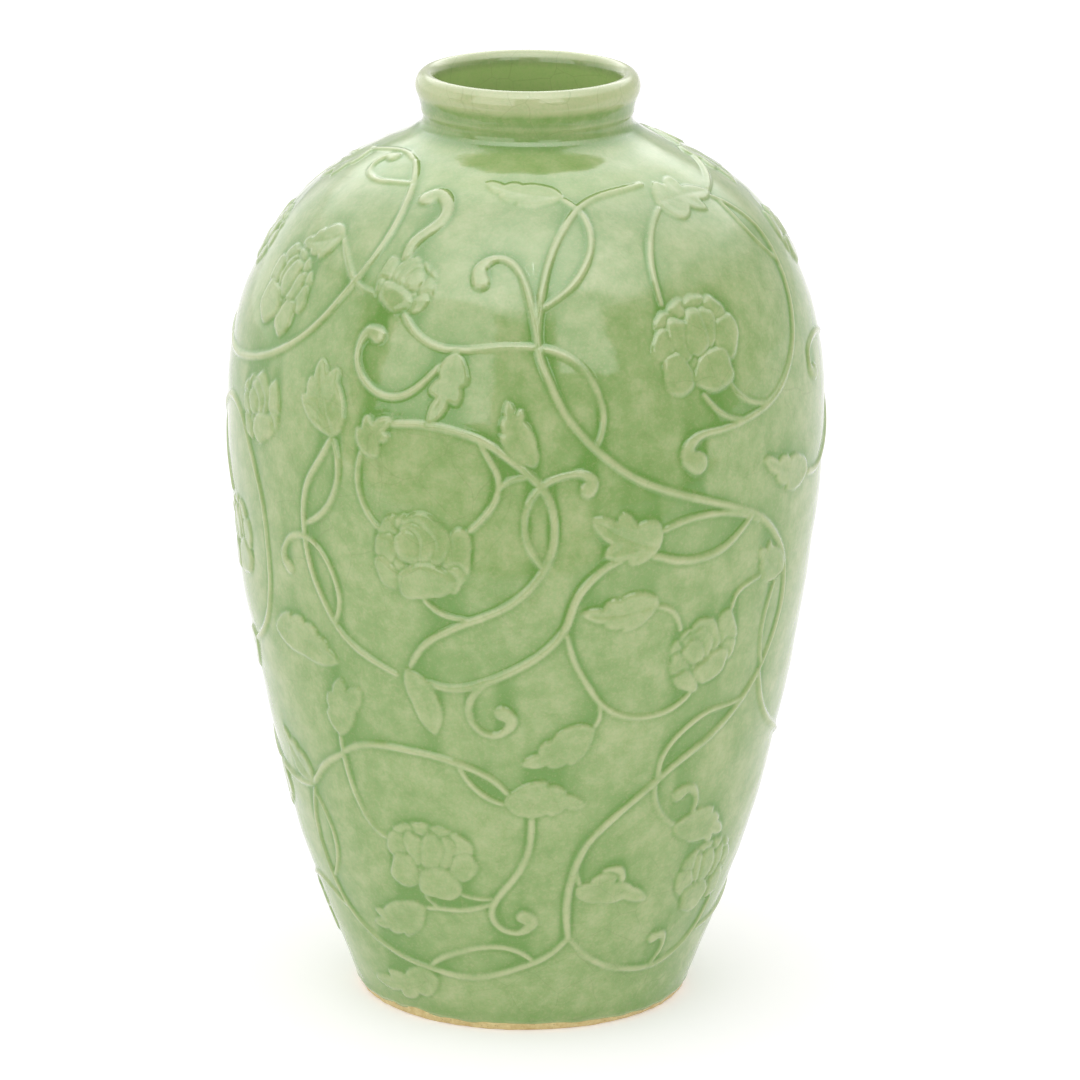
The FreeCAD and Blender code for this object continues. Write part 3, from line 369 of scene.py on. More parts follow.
def stroke(ground, path, half_width, height, tip=None):
    """A rounded strand along a path. It thins towards its far end, or swells into a round tip."""
    path = np.array(path, float)
    half_width *= STEM_SLIMNESS
    scale = mm_per_degree(path[:, 1].mean())
    fine = evenly(path * [scale, 1], STROKE_STEP) / [scale, 1]
    tip = tip and TIP_SWELL * tip
    reach = (tip or half_width) + NOTCH + 0.6
    rows, columns, angles, ups = ground.window(fine, reach)
    outside = np.full((len(rows), len(columns)), 99.0)
    length = STROKE_STEP * len(fine)
    for i, (angle, up) in enumerate(fine):
        to_end = length - STROKE_STEP * i
        if tip:
            width = half_width + (tip - half_width) * max(0.0, 1 - to_end / (4.2 * tip)) ** 1.3
        else:
            width = half_width * min(1.0, 0.72 + 0.28 * to_end / 9)
        width *= min(1.0, 0.8 + 0.2 * STROKE_STEP * i / 6)
        scale = mm_per_degree(up)
        r = slice(*np.searchsorted(ups, (up - reach, up + reach)))
        c = slice(*np.searchsorted(angles, (angle - reach / scale, angle + reach / scale)))
        away = np.hypot((angles[c][None, :] - angle) * scale, ups[r][:, None] - up)
        outside[r, c] = np.minimum(outside[r, c], away - width)
    depth = -outside / half_width
    body = height * ((1 - (1 - np.clip(depth, 0, 1)) ** 2.2) ** 0.7 + 0.12 * np.clip(depth - 1, 0, 2))
    ground.lay(rows, columns, body, outside, STEM_TONE, strength=0.35, keep=0.75)


def blade(kind, length, half_width):
    """The outline of a leaf: arcs that swell outwards between the blade's corners."""
    corners = np.array(BLADES[kind]) * [length, half_width]
    side = np.roll(corners, -1, axis=0) - corners
    outward = np.stack([-side[:, 1], side[:, 0]], axis=1)
    share = np.linspace(0, 1, SIDE_STEPS, endpoint=False)[None, :, None]
    arcs = corners[:, None] + share * side[:, None] + 4 * SWELL * share * (1 - share) * outward[:, None]
    return arcs.reshape(-1, 2)


def leaf(ground, stalk, tip, half_width, kind):
    """A flat blade with rounded edges, a slightly raised rim and faint veins."""
    scale = mm_per_degree((stalk[1] + tip[1]) / 2)
    dx, dy = (tip[0] - stalk[0]) * scale, tip[1] - stalk[1]
    length = math.hypot(dx, dy)
    dx, dy = dx / length, dy / length
    rows, columns, angles, ups = ground.window([stalk, tip], half_width + NOTCH + 2)
    x = (angles[None, :] - stalk[0]) * scale
    y = ups[:, None] - stalk[1]
    along, across = x * dx + y * dy, -x * dy + y * dx
    across = across - LEAF_BOW * length * np.sin(np.pi * np.clip(along / length, 0, 1))
    outline = blade(kind, length, half_width)
    nearest = np.full(along.shape, 99.0)
    inside = np.zeros(along.shape, bool)
    for (ax, ay), (bx, by) in zip(outline, np.roll(outline, -1, axis=0)):
        share = ((along - ax) * (bx - ax) + (across - ay) * (by - ay)) / ((bx - ax) ** 2 + (by - ay) ** 2)
        share = np.clip(share, 0, 1)
        away = np.hypot(along - ax - share * (bx - ax), across - ay - share * (by - ay))
        nearest = np.minimum(nearest, away)
        if ay != by:
            crossing = (ay > across) != (by > across)
            inside ^= crossing & (along < (bx - ax) * (across - ay) / (by - ay) + ax)
    signed = np.where(inside, -nearest, nearest) - LEAF_GROWTH
    depth = np.clip(-signed / LEAF_EDGE, 0, 1)
    middle = np.clip((-signed - 0.7) / 2.2, 0, 1)
    ribs = np.abs(np.abs(across) - 0.75 * (along - 0.18 * length) % (0.30 * length))
    vein = MIDRIB * (np.exp(-(across / 0.45) ** 2) + 0.4 * np.exp(-(ribs / 0.4) ** 2) * middle)
    body = LEAF_HEIGHT * (np.sqrt(1 - (1 - depth) ** 2) - 0.30 * middle) - vein * depth
    ground.lay(rows, columns, body, signed, LEAF_TONE, notch=0.7)


def petal(ground, place, slant, length, half_width, height, wave=0.0):
    """One flat oval petal with rounded edges and a slightly wavy rim, a little fuller there than inside."""
    scale = mm_per_degree(place[1])
    rows, columns, angles, ups = ground.window([place], max(length, half_width) + NOTCH + 0.5)
    x = (angles[None, :] - place[0]) * scale
    y = ups[:, None] - place[1]
    along = x * math.cos(slant) + y * math.sin(slant)
    across = -x * math.sin(slant) + y * math.cos(slant)
    share = np.abs(along / length) ** PETAL_POWER + np.abs(across / half_width) ** PETAL_POWER
    share = share ** (1 / PETAL_POWER)
    turn = np.arctan2(across / half_width, along / length)
    share = share * (1 + 0.06 * np.cos(3 * turn + wave) + 0.04 * np.cos(5 * turn + 2 * wave))
    outside = (share - 1) * min(length, half_width)
    fall = np.sqrt(np.clip(1 - np.clip(1 + outside / PETAL_EDGE, 0, 1) ** 2, 0, 1))
    dish = 1 - 0.10 * np.clip(1 - share, 0, 1)
    ground.lay(rows, columns, height * dish * fall, outside, PETAL_TONE, notch=0.65, strength=0.8)


def flower(ground, centre, radius, turn, side, kind, shuffle):
    """A peony seen from the side: overlapping petals round a heart, over one broad lower petal."""
    scale = mm_per_degree(centre[1])
    turn = math.radians(turn)
    petal(ground, centre, 0, 0.8 * radius, 0.74 * radius, 0.45 * PETAL_HEIGHT)
    for x, y, length, half_width, slant, height in PEONIES[kind]:
        x, y = x * BLOOM_WIDTH * side, y * BLOOM_HEIGHT
        slant = math.radians(slant) * side + turn + shuffle.uniform(-0.10, 0.10)
        place = (centre[0] + radius * (x * math.cos(turn) - y * math.sin(turn)) / scale,
                 centre[1] + radius * (x * math.sin(turn) + y * math.cos(turn)))
        size = radius * shuffle.uniform(0.94, 1.08)
        petal(ground, place, slant, length * size, half_width * size, PETAL_HEIGHT * height,
              shuffle.uniform(0, 2 * math.pi))


def blur_round(field, sigma):
    """Softens each row round the vase by sigma mm. The rows repeat, so this is done on their waves."""
    waves = np.fft.rfft(field, axis=1)
    turns = np.arange(waves.shape[1])[None, :] * 2 * np.pi / PERIOD
    spread = (sigma / PER_DEGREE)[:, None]
    return np.fft.irfft(waves * np.exp(-0.5 * (turns * spread) ** 2), n=field.shape[1], axis=1)


def blur_up(field, sigma):
    """Softens each column up the wall by sigma mm."""
    reach = max(1, int(3 * sigma / ROW_STEP))
    weights = np.exp(-0.5 * (np.arange(-reach, reach + 1) * ROW_STEP / sigma) ** 2)
    weights /= weights.sum()
    padded = np.pad(field, ((reach, reach), (0, 0)), mode="edge")
    return sum(w * padded[i:i + len(field)] for i, w in enumerate(weights))


def blur(field, sigma):
    """Softens the field by sigma mm both ways."""
    return blur_up(blur_round(field, sigma), sigma)


def waves_noise(up, angles, seed, up_mm, turns, count=26):
    """Slow undulation made of a few waves that close round the vase. Most of it lies between -1 and 1.
    up_mm is about how long the waves are up the wall, and turns how many go round at most."""
    source = np.random.default_rng(seed)
    total = np.zeros((len(up), len(angles)))
    for _ in range(count):
        around = source.integers(-turns, turns + 1)
        rise = source.normal(0, 1 / up_mm)
        phase = source.uniform(0, 2 * np.pi)
        total += np.cos(np.radians(angles)[None, :] * around + up[:, None] * rise * 6.28 + phase)
    return total / math.sqrt(count)


def ramp(value, low, high):
    """0 below low, 1 above high and smooth between."""
    share = np.clip((value - low) / (high - low), 0, 1)
    return share * share * (3 - 2 * share)


def stretch(value, start, full, fading, end):
    """1 between full and fading, 0 outside start and end, and smooth between."""
    return ramp(value, start, full) * (1 - ramp(value, fading, end))


def bump(value, middle, width):
    """1 at the middle, fading to both sides."""
    return np.exp(-((value - middle) / width) ** 2)


def caught(field, reach):
    """How much relief lies just below each place, fading over reach mm: glaze that ran down stays there."""
    total, weights = np.zeros_like(field), 0.0
    for rows in range(1, int(4 * reach / ROW_STEP)):
        weight = math.exp(-rows * ROW_STEP / reach)
        total[rows:] += weight * field[:-rows]
        weights += weight
    return total / weights


def carve():
    """The relief's heights, how much glaze lies pooled and how thin it runs, over one period."""
    ground = Ground()
    shuffle = np.random.default_rng(7)
    for width, path in STEMS.values():
        stroke(ground, path, width, STEM_HEIGHT * (0.75 + 0.25 * width))
    for width, path, tip in TENDRILS.values():
        stroke(ground, path, width, STEM_HEIGHT * (0.75 + 0.25 * width), tip)
    for stalk, tip, half_width, kind in LEAVES.values():
        leaf(ground, stalk, tip, half_width, kind)
    for centre, radius, turn, side, kind in FLOWERS.values():
        flower(ground, centre, radius, turn, side, kind, shuffle)
    raw = ground.height
    soft = blur(raw, SOFTENING)
    near = blur(raw, SEEN_NEAR)
    wide = blur(raw, SEEN_WIDE)
    open_ground = np.clip(1 - soft / 0.25, 0, 1)
    turns = np.arange(HALF_STEPS) * COLUMN_STEP * 360 / PERIOD
    uneven = np.clip(1 + 0.55 * waves_noise(UP, turns, 13, 30, 12, 24), 0.25, 1.9)
    stayed = blur(caught(raw, RUN_DOWN), 0.7)
    enclosed = blur(np.sqrt(caught(raw, RUN_ROUND) * caught(raw[::-1], RUN_ROUND)[::-1]), 0.8)
    height = soft - (0.35 * stayed + 0.45 * wide) * open_ground
    tone = blur(ground.tone, 0.4)
    line = tone * np.clip((near - soft) * OUTLINE_GAIN * uneven, 0, 1)
    pool = OUTLINE * line + np.clip(stayed * ABOVE * uneven + BETWEEN * enclosed, 0, 1) * open_ground
    ridge = np.clip((soft - near) * RIDGE_GAIN * uneven - 0.2, 0, 1)
    crest = tone * (RIDGE * ridge + FLAT * np.clip(soft / 0.5, 0, 1))
    return height, np.clip(pool, 0, 1), np.clip(crest, 0, 1)


# ---------------------------------------------------------------- meshes
def grid_mesh(name, rings, uv_rows, attributes=()):
    """Mesh of stacked rings, the last joined to the first. rings is rows x columns x 3 in mm."""
    rows, columns = rings.shape[:2]
    count = rows * columns                # of corners, and of faces
    mesh = bpy.data.meshes.new(name)
    mesh.vertices.add(count)
    mesh.vertices.foreach_set("co", (rings * MM).astype(np.float32).ravel())
    lower = np.arange(rows)
    upper = (lower + 1) % rows
    left = np.arange(columns)
    right = (left + 1) % columns
    quads = np.stack([lower[:, None] * columns + left, lower[:, None] * columns + right,
                      upper[:, None] * columns + right, upper[:, None] * columns + left], axis=2)
    mesh.loops.add(4 * count)
    mesh.loops.foreach_set("vertex_index", quads.astype(np.int32).ravel())
    mesh.polygons.add(count)
    mesh.polygons.foreach_set("loop_start", np.arange(0, 4 * count, 4, dtype=np.int32))
    mesh.polygons.foreach_set("use_smooth", np.ones(count, bool))
    u = np.stack([left, left + 1, left + 1, left], axis=1) / columns
    v = np.stack([uv_rows[:-1], uv_rows[:-1], uv_rows[1:], uv_rows[1:]], axis=1)
    uv = np.zeros((rows, columns, 4, 2), np.float32)
    uv[..., 0] = u[None, :, :]
    uv[..., 1] = v[:, None, :]
    layer = mesh.uv_layers.new(name="OFBake")
    layer.data.foreach_set("uv", uv.ravel())
    for label, values in attributes:
        attribute = mesh.attributes.new(label, "FLOAT", "POINT")
        attribute.data.foreach_set("value", np.ascontiguousarray(values, np.float32).ravel())
    mesh.update(calc_edges=True)
    mesh.validate()
    piece = bpy.data.objects.new(name, mesh)
    bpy.context.scene.collection.objects.link(piece)
    return piece


def normals_of(line):
    """Unit normals of a (radius, height) line, on its right-hand side going along it."""
    along = np.gradient(line, axis=0)
    along /= np.hypot(*along.T)[:, None]
    return np.stack([along[:, 1], -along[:, 0]], axis=1)


def turned(line, columns, push):
    """Rings of a (radius, height) line turned about Z, pushed out along its normals by push mm."""
    normal = normals_of(line)
    angles = np.linspace(0, 2 * np.pi, columns, endpoint=False)
    push = np.broadcast_to(push, (len(line), columns))
    radius = line[:, 0:1] + push * normal[:, 0:1]
    height = line[:, 1:2] + push * normal[:, 1:2]
    return np.stack([radius * np.sin(angles), -radius * np.cos(angles), height], axis=2)


def row_shares(rings):
    """Where each ring lies along the strip, from 0 to 1."""
    first = rings[:, 0]
    steps = np.sqrt((np.diff(first, axis=0) ** 2).sum(axis=1))
    return np.concatenate([[0.0], np.cumsum(steps)]) / steps.sum()


def sway(up, angles):
    """How far the hand-thrown wall wanders from a true round, in mm."""
    calm = 1 - 0.75 * np.clip((up - WALL_LENGTH + 12) / 12, 0, 1)[:, None]
    return calm * (0.20 * waves_noise(up, angles, 3, 60, 5) + 0.04 * waves_noise(up, angles, 4, 12, 22))


def hem_wander(angles):
    """How far the glaze's lower edge wanders up and down round the foot, in mm."""
    level = np.zeros(1)
    return 0.24 * waves_noise(level, angles, 9, 60, 9) + 0.15 * waves_noise(level, angles, 10, 60, 40)


def wall_skin():
    """The outer glaze: the carved wall, the rolled collar and the turn into the throat, as a closed coat."""
    height, pool, crest = (np.tile(field, (1, 2)) for field in carve())
    angles = np.arange(TURN_STEPS) * COLUMN_STEP
    collar = evenly(COLLAR, COLLAR_STEP)[1:]
    line = np.vstack([WALL_ROWS, collar])
    up = np.concatenate([UP, WALL_LENGTH + COLLAR_STEP * np.arange(1, len(collar) + 1)])
    plain = np.zeros((len(collar), TURN_STEPS))
    height, pool, crest = (np.vstack([field, plain]) for field in (height, pool, crest))

    wander_in = sway(up, angles)
    turning = 0.03 * np.sin(up / 2.9 + 0.6 * np.sin(up / 13))[:, None]
    edge = np.exp(-up / 1.2)[:, None]              # the coat thins towards its lower edge
    roll = 0.28 * bump(up, 1.4, 1.1)[:, None]      # and is rolled just above it
    past = (up - WALL_LENGTH)[:, None]             # up the collar and down into the throat
    bead = bump(past, 4.0, 0.7)
    rings = turned(line, TURN_STEPS, height + wander_in + turning + roll - 0.35 * edge + 0.15 * bead)
    drop = np.exp(-up / 3.5)[:, None] * (0.5 + hem_wander(angles))
    rings[..., 2] += np.maximum(drop, -0.35 * edge)

    throat = ramp(past, *THROAT)
    hem = bump(up, 3.0, 3.0)[:, None]
    pool = pool + 0.75 * bump(past, -0.5, 2.2) + 0.35 * hem + 0.3 * stretch(past, *COLLAR_BAND)
    crest = crest + 0.68 * stretch(past, *PALE_LIP) + 0.2 * bead
    # Painted light and reflection: a greener band round the collar's foot stands in for the collar's
    # reflection on the shoulder, and the throat is painted brighter where light falls into it.
    painted_light_amount = 0.20 * stretch(past, *COLLAR_REFLECTION_BAND) + throat

    backing = turned(line, TURN_STEPS, wander_in - GLAZE)[::-BACKING_SHARE]
    backing[-1] = turned(line[0:2], TURN_STEPS, -GLAZE)[0]
    backing[-1][:, 2] = rings[0][:, 2]
    whole = np.vstack([rings, backing])
    shares = np.concatenate([0.96 * row_shares(rings), 0.965 + 0.03 * row_shares(backing), [1.0]])
    flat = np.zeros((len(backing), TURN_STEPS))
    attributes = [("pool", np.vstack([np.clip(pool, 0, 1), flat])),
                  ("crest", np.vstack([np.clip(crest, 0, 1), flat])),
                  ("painted_light", np.vstack([painted_light_amount + flat[:1], flat]))]
    return grid_mesh("glaze_relief_skin", whole, shares, attributes)


def hollow_glaze():
    """The glaze inside, from the lip's inner edge down the throat and wall to the floor."""
    columns = TURN_STEPS // 3
    line = evenly(HOLLOW, LINING_STEP)
    angles = np.arange(columns) * 360 / columns
    up = LINING_STEP * np.arange(len(line))
    fade = np.clip(line[:, 0:1] / 12, 0, 1) * np.clip(up / 6, 0, 1)[:, None]
    wave = (0.10 * waves_noise(up, angles, 21, 30, 4) + 0.07 * np.sin(up / 2.6)[:, None]) * fade
    face = turned(line, columns, wave)
    back = turned(line, columns, -GLAZE * 0.9)[::-1]
    back[..., 2] = np.where(np.hypot(back[..., 0], back[..., 1]) < 0.05, line[-1, 1] - GLAZE, back[..., 2])
    whole = np.vstack([face, back])
    shares = np.concatenate([0.9 * row_shares(face), 0.91 + 0.08 * row_shares(back), [1.0]])
    pool = bump(up, 13, 5.0)[:, None] + np.zeros((1, columns))
    # The whole lining gets the brighter green: painted light inside the vase, where little light reaches.
    attributes = [("pool", np.vstack([pool, pool * 0])), ("painted_light", np.ones((len(whole), columns)))]
    return grid_mesh("hollow_glaze", whole, shares, attributes)


def stoneware():
    """Thrown clay: the wall under the glaze, the bare foot with its chamfer, the recess and the hollow."""
    columns = TURN_STEPS // 2
    outside = evenly(WALL, CLAY_STEP)
    wall_up = CLAY_STEP * np.arange(len(outside))
    outside = outside - GLAZE * normals_of(outside)
    inner, outer = RESTING_RING
    foot = [(AXIS, RECESS), (inner - 1.3, RECESS), (inner - 0.7, RECESS - 0.9), (inner - 0.15, 0.35),
            (inner + 0.4, 0.02), (outer - 0.5, 0.0), (outer, 0.12), (outer + 0.55, 0.55)]
    foot = np.vstack([np.linspace(a, b, 4, endpoint=False) for a, b in zip(foot, foot[1:])])
    inside = evenly(HOLLOW, CLAY_STEP)
    inside = inside[inside[:, 1] < outside[-1, 1]]
    inside = inside - GLAZE * normals_of(inside)
    inside[-1, 0] = AXIS
    line = np.vstack([foot, outside, inside])
    angles = np.arange(columns) * 360 / columns
    near_foot = np.exp(-np.maximum(line[:, 1], 0) / 4.0)[:, None]
    rough = 0.10 * waves_noise(np.arange(len(line)), angles, 31, 9, 60)
    push = rough * near_foot * (line[:, 0:1] > inner + 1) * (line[:, 1:2] > 0.1)
    push[len(foot):len(foot) + len(outside)] += sway(wall_up, angles)
    rings = turned(line, columns, push)
    shares = np.concatenate([row_shares(rings) * 0.99, [1.0]])
    return grid_mesh("stoneware_body", rings, shares)


def neck_ring():
    """The collar's clay, a ring under the glaze from the shoulder's top to the lip."""
    columns = TURN_STEPS // 3
    outer = evenly(COLLAR, 1.0)
    crown = outer[:, 1].argmax()
    outer = (outer - UNDER_GLAZE * normals_of(outer))[:crown + 4]
    bore = 23.75
    inner = np.array([[bore, 237.0], [bore, 232.0], [bore, outer[0, 1]]])
    line = np.vstack([outer, inner])
    angles = np.arange(columns) * 360 / columns
    push = np.zeros((len(line), columns))
    push[:len(outer)] = sway(np.full(len(outer), WALL_LENGTH), angles)
    rings = turned(line, columns, push)
    shares = np.concatenate([row_shares(rings) * 0.99, [1.0]])
    return grid_mesh("collar_clay", rings, shares)


# ---------------------------------------------------------------- materials
def node_adder(tree):
    """A function that adds a node with its settings, and links or sets its inputs."""
    def add(kind, links=None, **values):
        node = tree.nodes.new(kind)
        for key, value in values.items():
            setattr(node, key, value)
        for socket, source in (links or {}).items():
            if isinstance(source, bpy.types.NodeSocket):
                tree.links.new(source, node.inputs[socket])
            else:
                node.inputs[socket].default_value = source
        return node

    return add


def material(name):
    """A node material, its Principled shader, and functions that add and link nodes."""
    made = bpy.data.materials.new(name)
    made.use_nodes = True
    tree = made.node_tree
    return made, tree.nodes["Principled BSDF"], node_adder(tree), tree.links.new


def calculate(add, kind, first, second=0.0):
    """Does one sum on two sockets or numbers and returns the result's socket."""
    return add("ShaderNodeMath", {0: first, 1: second}, operation=kind).outputs[0]


def remap(add, value, low, high, at_low=0.0, at_high=1.0, curve="LINEAR"):
    """at_low where the value is low, at_high where it is high, and held beyond them."""
    return add("ShaderNodeMapRange", {"Value": value, "From Min": low, "From Max": high, "To Min": at_low,
                                      "To Max": at_high}, interpolation_type=curve).outputs["Result"]


def mix(add, factor, first, second):
    """Mixes two colours and returns the result's socket."""
    return add("ShaderNodeMix", {0: factor, 6: first, 7: second}, data_type="RGBA").outputs[2]


def srgb(red, green, blue):
    """Linear colour of an 8-bit display colour."""
    def linear(value):
        value /= 255
        return value / 12.92 if value <= 0.04045 else ((value + 0.055) / 1.055) ** 2.4
    return (*[linear(value) for value in (red, green, blue)], 1.0)


def crackle(add, place, size, width, warp):
    """1 on the fine lines of a crackled glaze and 0 between them."""
    bend = add("ShaderNodeTexNoise", {"Vector": place, "Scale": 0.6 / size, "Detail": 2.0})
    shift = add("ShaderNodeVectorMath", {0: bend.outputs["Color"], 1: (0.5, 0.5, 0.5)},
                operation="SUBTRACT")
    spread = add("ShaderNodeVectorMath", {0: shift.outputs[0], "Scale": warp}, operation="SCALE")
    moved = add("ShaderNodeVectorMath", {0: place, 1: spread.outputs[0]}, operation="ADD")
    cells = add("ShaderNodeTexVoronoi", {"Vector": moved.outputs[0], "Scale": 1 / size, "Randomness": 1.0},
                feature="DISTANCE_TO_EDGE")
    return remap(add, cells.outputs["Distance"], 0.0, width / size, 1.0, 0.0)


def celadon(name, ground, pooled, pale, painted_light_green, crack_strength, crack_colour):
    """Glossy green glaze, darker where it pools and paler where it runs thin, with a faint crackle.
    Its last colour is a brighter green, mixed in by the third attribute: painted light inside the mouth and
    a painted reflection round the collar's foot."""
    made, shader, add, link = material(name)
    place = add("ShaderNodeTexCoord").outputs["Object"]
    pool, crest, painted_light = (add("ShaderNodeAttribute", attribute_name=label).outputs["Fac"]
                          for label in ("pool", "crest", "painted_light"))

    def noise(scale, detail, roughness=0.5):
        return add("ShaderNodeTexNoise", {"Vector": place, "Scale": scale, "Detail": detail,
                                          "Roughness": roughness}).outputs["Fac"]

    def tinted(base, pattern, tints, strength):
        """Tints the base where the pattern goes from low to high."""
        for low, high, tint in tints:
            base = mix(add, remap(add, pattern, low, high, 0.0, strength), base, tint)
        return base

    base = tinted(ground, noise(38.0, 5.0, 0.6), [(0.35, 0.68, pooled)], 0.38)
    base = tinted(base, noise(170.0, 4.0, 0.65), [(0.48, 0.72, pale), (0.48, 0.28, pooled)], 0.42)
    base = mix(add, pool, base, pooled)
    base = mix(add, crest, base, pale)
    # painted light: mixes in the brighter green inside the mouth and round the collar's foot
    base = mix(add, calculate(add, "MULTIPLY", painted_light, 0.8), base, painted_light_green)
    base = tinted(base, noise(1300.0, 3.0, 0.7),
                  [(0.50, 0.66, srgb(196, 184, 146)), (0.50, 0.36, srgb(122, 172, 104))], 0.15)
    lines = crackle(add, place, 0.011, 0.00016, 0.006)
    seen = remap(add, noise(14.0, 2.0), 0.42, 0.62, 0.15, 1.0)
    cracks = calculate(add, "MULTIPLY", calculate(add, "MULTIPLY", lines, seen), crack_strength)
    link(mix(add, cracks, base, crack_colour), shader.inputs["Base Color"])
    peel = add("ShaderNodeBump", {"Height": noise(260.0, 2.0), "Strength": 0.05, "Distance": 0.0006})
    link(peel.outputs["Normal"], shader.inputs["Normal"])
    shader.inputs["Roughness"].default_value = 0.09
    shader.inputs["IOR"].default_value = 1.5
    return made


def bare_clay():
    """Rough tan stoneware with dark iron specks."""
    made, shader, add, link = material("bare_stoneware")
    place = add("ShaderNodeTexCoord").outputs["Object"]
    grain = add("ShaderNodeTexNoise", {"Vector": place, "Scale": 420.0, "Detail": 8.0, "Roughness": 0.75})
    tones = remap(add, grain.outputs["Fac"], 0.35, 0.7)
    base = mix(add, tones, srgb(222, 205, 150), srgb(186, 158, 98))
    specks = add("ShaderNodeTexVoronoi", {"Vector": place, "Scale": 900.0})
    dots = remap(add, specks.outputs["Distance"], 0.1, 0.22, 0.5, 0.0)
    link(mix(add, dots, base, srgb(132, 102, 62)), shader.inputs["Base Color"])
    grit = add("ShaderNodeBump", {"Height": grain.outputs["Fac"], "Strength": 0.5, "Distance": 0.0004})
    link(grit.outputs["Normal"], shader.inputs["Normal"])
    shader.inputs["Roughness"].default_value = 0.55
    return made


# ---------------------------------------------------------------- studio
TABLE_REACH = 9.0             # how far the table goes each way, in metres
TABLE_EDGE = (-0.26, -0.34)   # where the table ends towards the front, as the glaze mirrors it, in metres
CAMERA_PLACE = (0, -1.68705, 0.58923)     # metres
CAMERA_DOWN, CAMERA_ROLL = 15.642, 0.357  # degrees
LENS = 228.8                              # mm, on a 36 mm wide frame
CAMERA_SHIFT = (0.01372, 0.0032)          # shares of the frame's width


def floor():
    """Plain white table top. The glaze mirrors it as if it ended a little in front of the vase."""
    mesh = bpy.data.meshes.new("floor")
    far = TABLE_REACH
    mesh.from_pydata([(-far, -far, 0), (far, -far, 0), (far, far, 0), (-far, far, 0)], [], [(0, 1, 2, 3)])
    piece = bpy.data.objects.new("floor", mesh)
    bpy.context.scene.collection.objects.link(piece)
    made, shader, add, link = material("white_table")
    place = add("ShaderNodeNewGeometry").outputs["Position"]
    front = add("ShaderNodeSeparateXYZ", {0: place}).outputs["Y"]
    beyond = remap(add, front, *TABLE_EDGE, curve="SMOOTHSTEP")
    glossy = add("ShaderNodeLightPath").outputs["Is Glossy Ray"]
    # The table's white is tinted faintly magenta: painted light that cancels the green the vase bounces onto
    # it.
    base = mix(add, calculate(add, "MULTIPLY", beyond, glossy), (0.93, 0.91, 0.93, 1), (0.15, 0.15, 0.15, 1))
    link(base, shader.inputs["Base Color"])
    link(base, shader.inputs["Emission Color"])
    shader.inputs["Roughness"].default_value = 0.9
    shader.inputs["Specular IOR Level"].default_value = 0.1
    shader.inputs["Emission Strength"].default_value = 0.26
    mesh.materials.append(made)


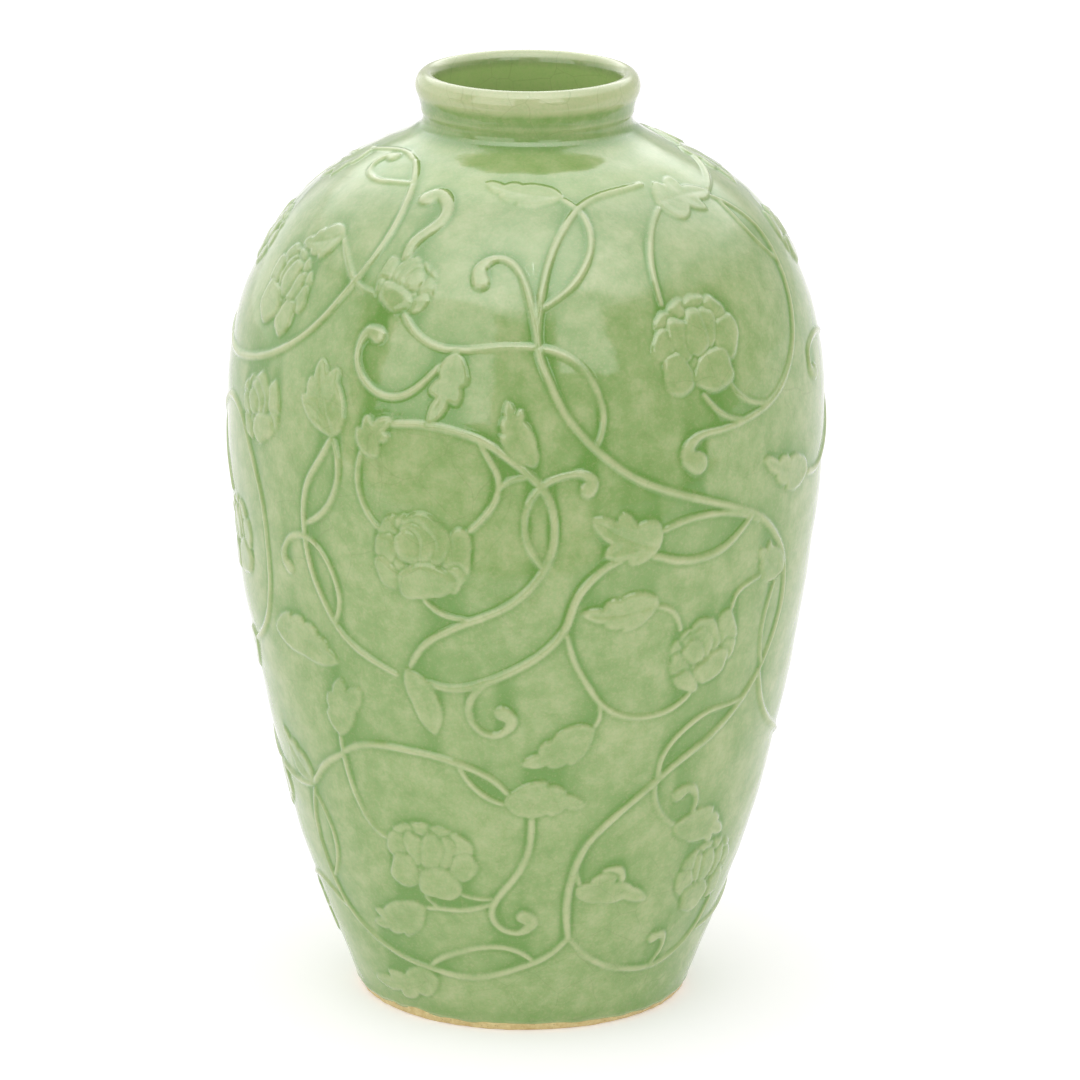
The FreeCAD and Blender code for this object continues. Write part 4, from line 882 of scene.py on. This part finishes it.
def studio():
    """A white tent. The glaze mirrors a bright ceiling, a window each side of the camera and a dim front."""
    world = bpy.data.worlds.new("white_tent")
    bpy.context.scene.world = world
    world.use_nodes = True
    tree = world.node_tree
    add = node_adder(tree)

    def step(value, low, high):
        """0 at low, 1 at high and smooth between; low may be above high."""
        return remap(add, value, low, high, curve="SMOOTHSTEP")

    def product(first, second):
        return calculate(add, "MULTIPLY", first, second)

    def total(first, second):
        return calculate(add, "ADD", first, second)

    def window(left, right, bottom, top, soft):
        """1 in a patch of the surroundings given by its sides in degrees round from the front and up."""
        across = product(step(around, left - soft, left + soft), step(around, right + soft, right - soft))
        along = product(step(rise, bottom - soft, bottom + soft), step(rise, top + soft, top - soft))
        return product(across, along)

    direction = add("ShaderNodeTexCoord").outputs["Generated"]
    split = add("ShaderNodeSeparateXYZ", {0: direction})
    x, y, z = (split.outputs[axis] for axis in "XYZ")
    around = calculate(add, "DEGREES", calculate(add, "ARCTAN2", x, product(y, -1.0)))
    rise = calculate(add, "DEGREES", calculate(add, "ARCSINE", z))

    ceiling = step(total(z, product(y, 0.2)), 0.42, 0.62)
    near_ceiling = product(ceiling, step(y, 0.3, -0.3))
    overhead = total(product(ceiling, 2.9), product(near_ceiling, 2.3))
    to_the_sides = product(product(x, x), 0.8)
    overhead = product(overhead, calculate(add, "SUBTRACT", 1.0, to_the_sides))
    room = total(product(step(y, -0.3, 0.5), 0.75), 0.2)
    mirrored = total(room, overhead)
    patches = ((window(-60, -14, -8, 46, 1.5), 2.4), (window(12, 37, 16, 46, 1.5), 2.7),
               (window(-165, -75, -25, 30, 9), 1.7), (window(-2, 1, 58, 62, 1), 16.0))
    for patch, strength in patches:
        mirrored = calculate(add, "MAXIMUM", mirrored, product(patch, strength))

    lean = add("ShaderNodeVectorMath", {0: direction, 1: (-0.12, -0.12, 0.42)}, operation="DOT_PRODUCT")
    soft_light = total(lean.outputs["Value"], 0.79)

    ray = add("ShaderNodeLightPath")
    unseen = add("ShaderNodeMix", {0: ray.outputs["Is Glossy Ray"], 2: soft_light, 3: mirrored})
    shown = add("ShaderNodeMix", {0: ray.outputs["Is Camera Ray"], 2: unseen.outputs[0], 3: 1.0})
    tree.links.new(shown.outputs[0], tree.nodes["Background"].inputs["Strength"])
    tree.nodes["Background"].inputs["Color"].default_value = (1, 1, 1, 1)


def camera():
    """Long lens from a little above the mouth, framed like a catalogue picture."""
    data = bpy.data.cameras.new("camera")
    data.lens = LENS
    data.sensor_width = 36.0
    data.shift_x, data.shift_y = CAMERA_SHIFT
    data.clip_start, data.clip_end = 0.1, 50
    eye = bpy.data.objects.new("camera", data)
    bpy.context.scene.collection.objects.link(eye)
    eye.location = CAMERA_PLACE
    down = Matrix.Rotation(math.pi / 2 - math.radians(CAMERA_DOWN), 3, "X")
    eye.rotation_euler = (down @ Matrix.Rotation(math.radians(CAMERA_ROLL), 3, "Z")).to_euler()
    bpy.context.scene.camera = eye


# ---------------------------------------------------------------- the scene
GREEN = celadon("celadon_glaze", srgb(151, 171, 113), srgb(104, 144, 67), srgb(190, 195, 150),
                srgb(184, 213, 130), 0.22, srgb(110, 124, 76))
# A greener copy of the glaze for the inside: painted light where little reaches into the vase.
GREEN_INSIDE = celadon("celadon_glaze_inside", srgb(150, 178, 108), srgb(100, 138, 60),
                       srgb(186, 194, 150), srgb(184, 213, 130), 0.4, srgb(84, 94, 50))
CLAY = bare_clay()

for piece, coat, replaced, slot in (
        (wall_skin(), GREEN, ("outer_glaze", "vine_stems", "tendrils", "leaves", "flowers"), "outer_glaze"),
        (hollow_glaze(), GREEN_INSIDE, ("inner_glaze",), "inner_glaze"),
        (stoneware(), CLAY, ("clay_body",), "bare_clay"),
        (neck_ring(), CLAY, ("neck_collar",), "bare_clay")):
    piece.data.materials.append(coat)
    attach(piece, "root")
    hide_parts(*replaced)

foot_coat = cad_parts["foot_glaze"]
foot_coat.data.materials.clear()
foot_coat.data.materials.append(GREEN_INSIDE)

floor()
studio()
camera()
bpy.context.scene.view_settings.view_transform = "Standard"
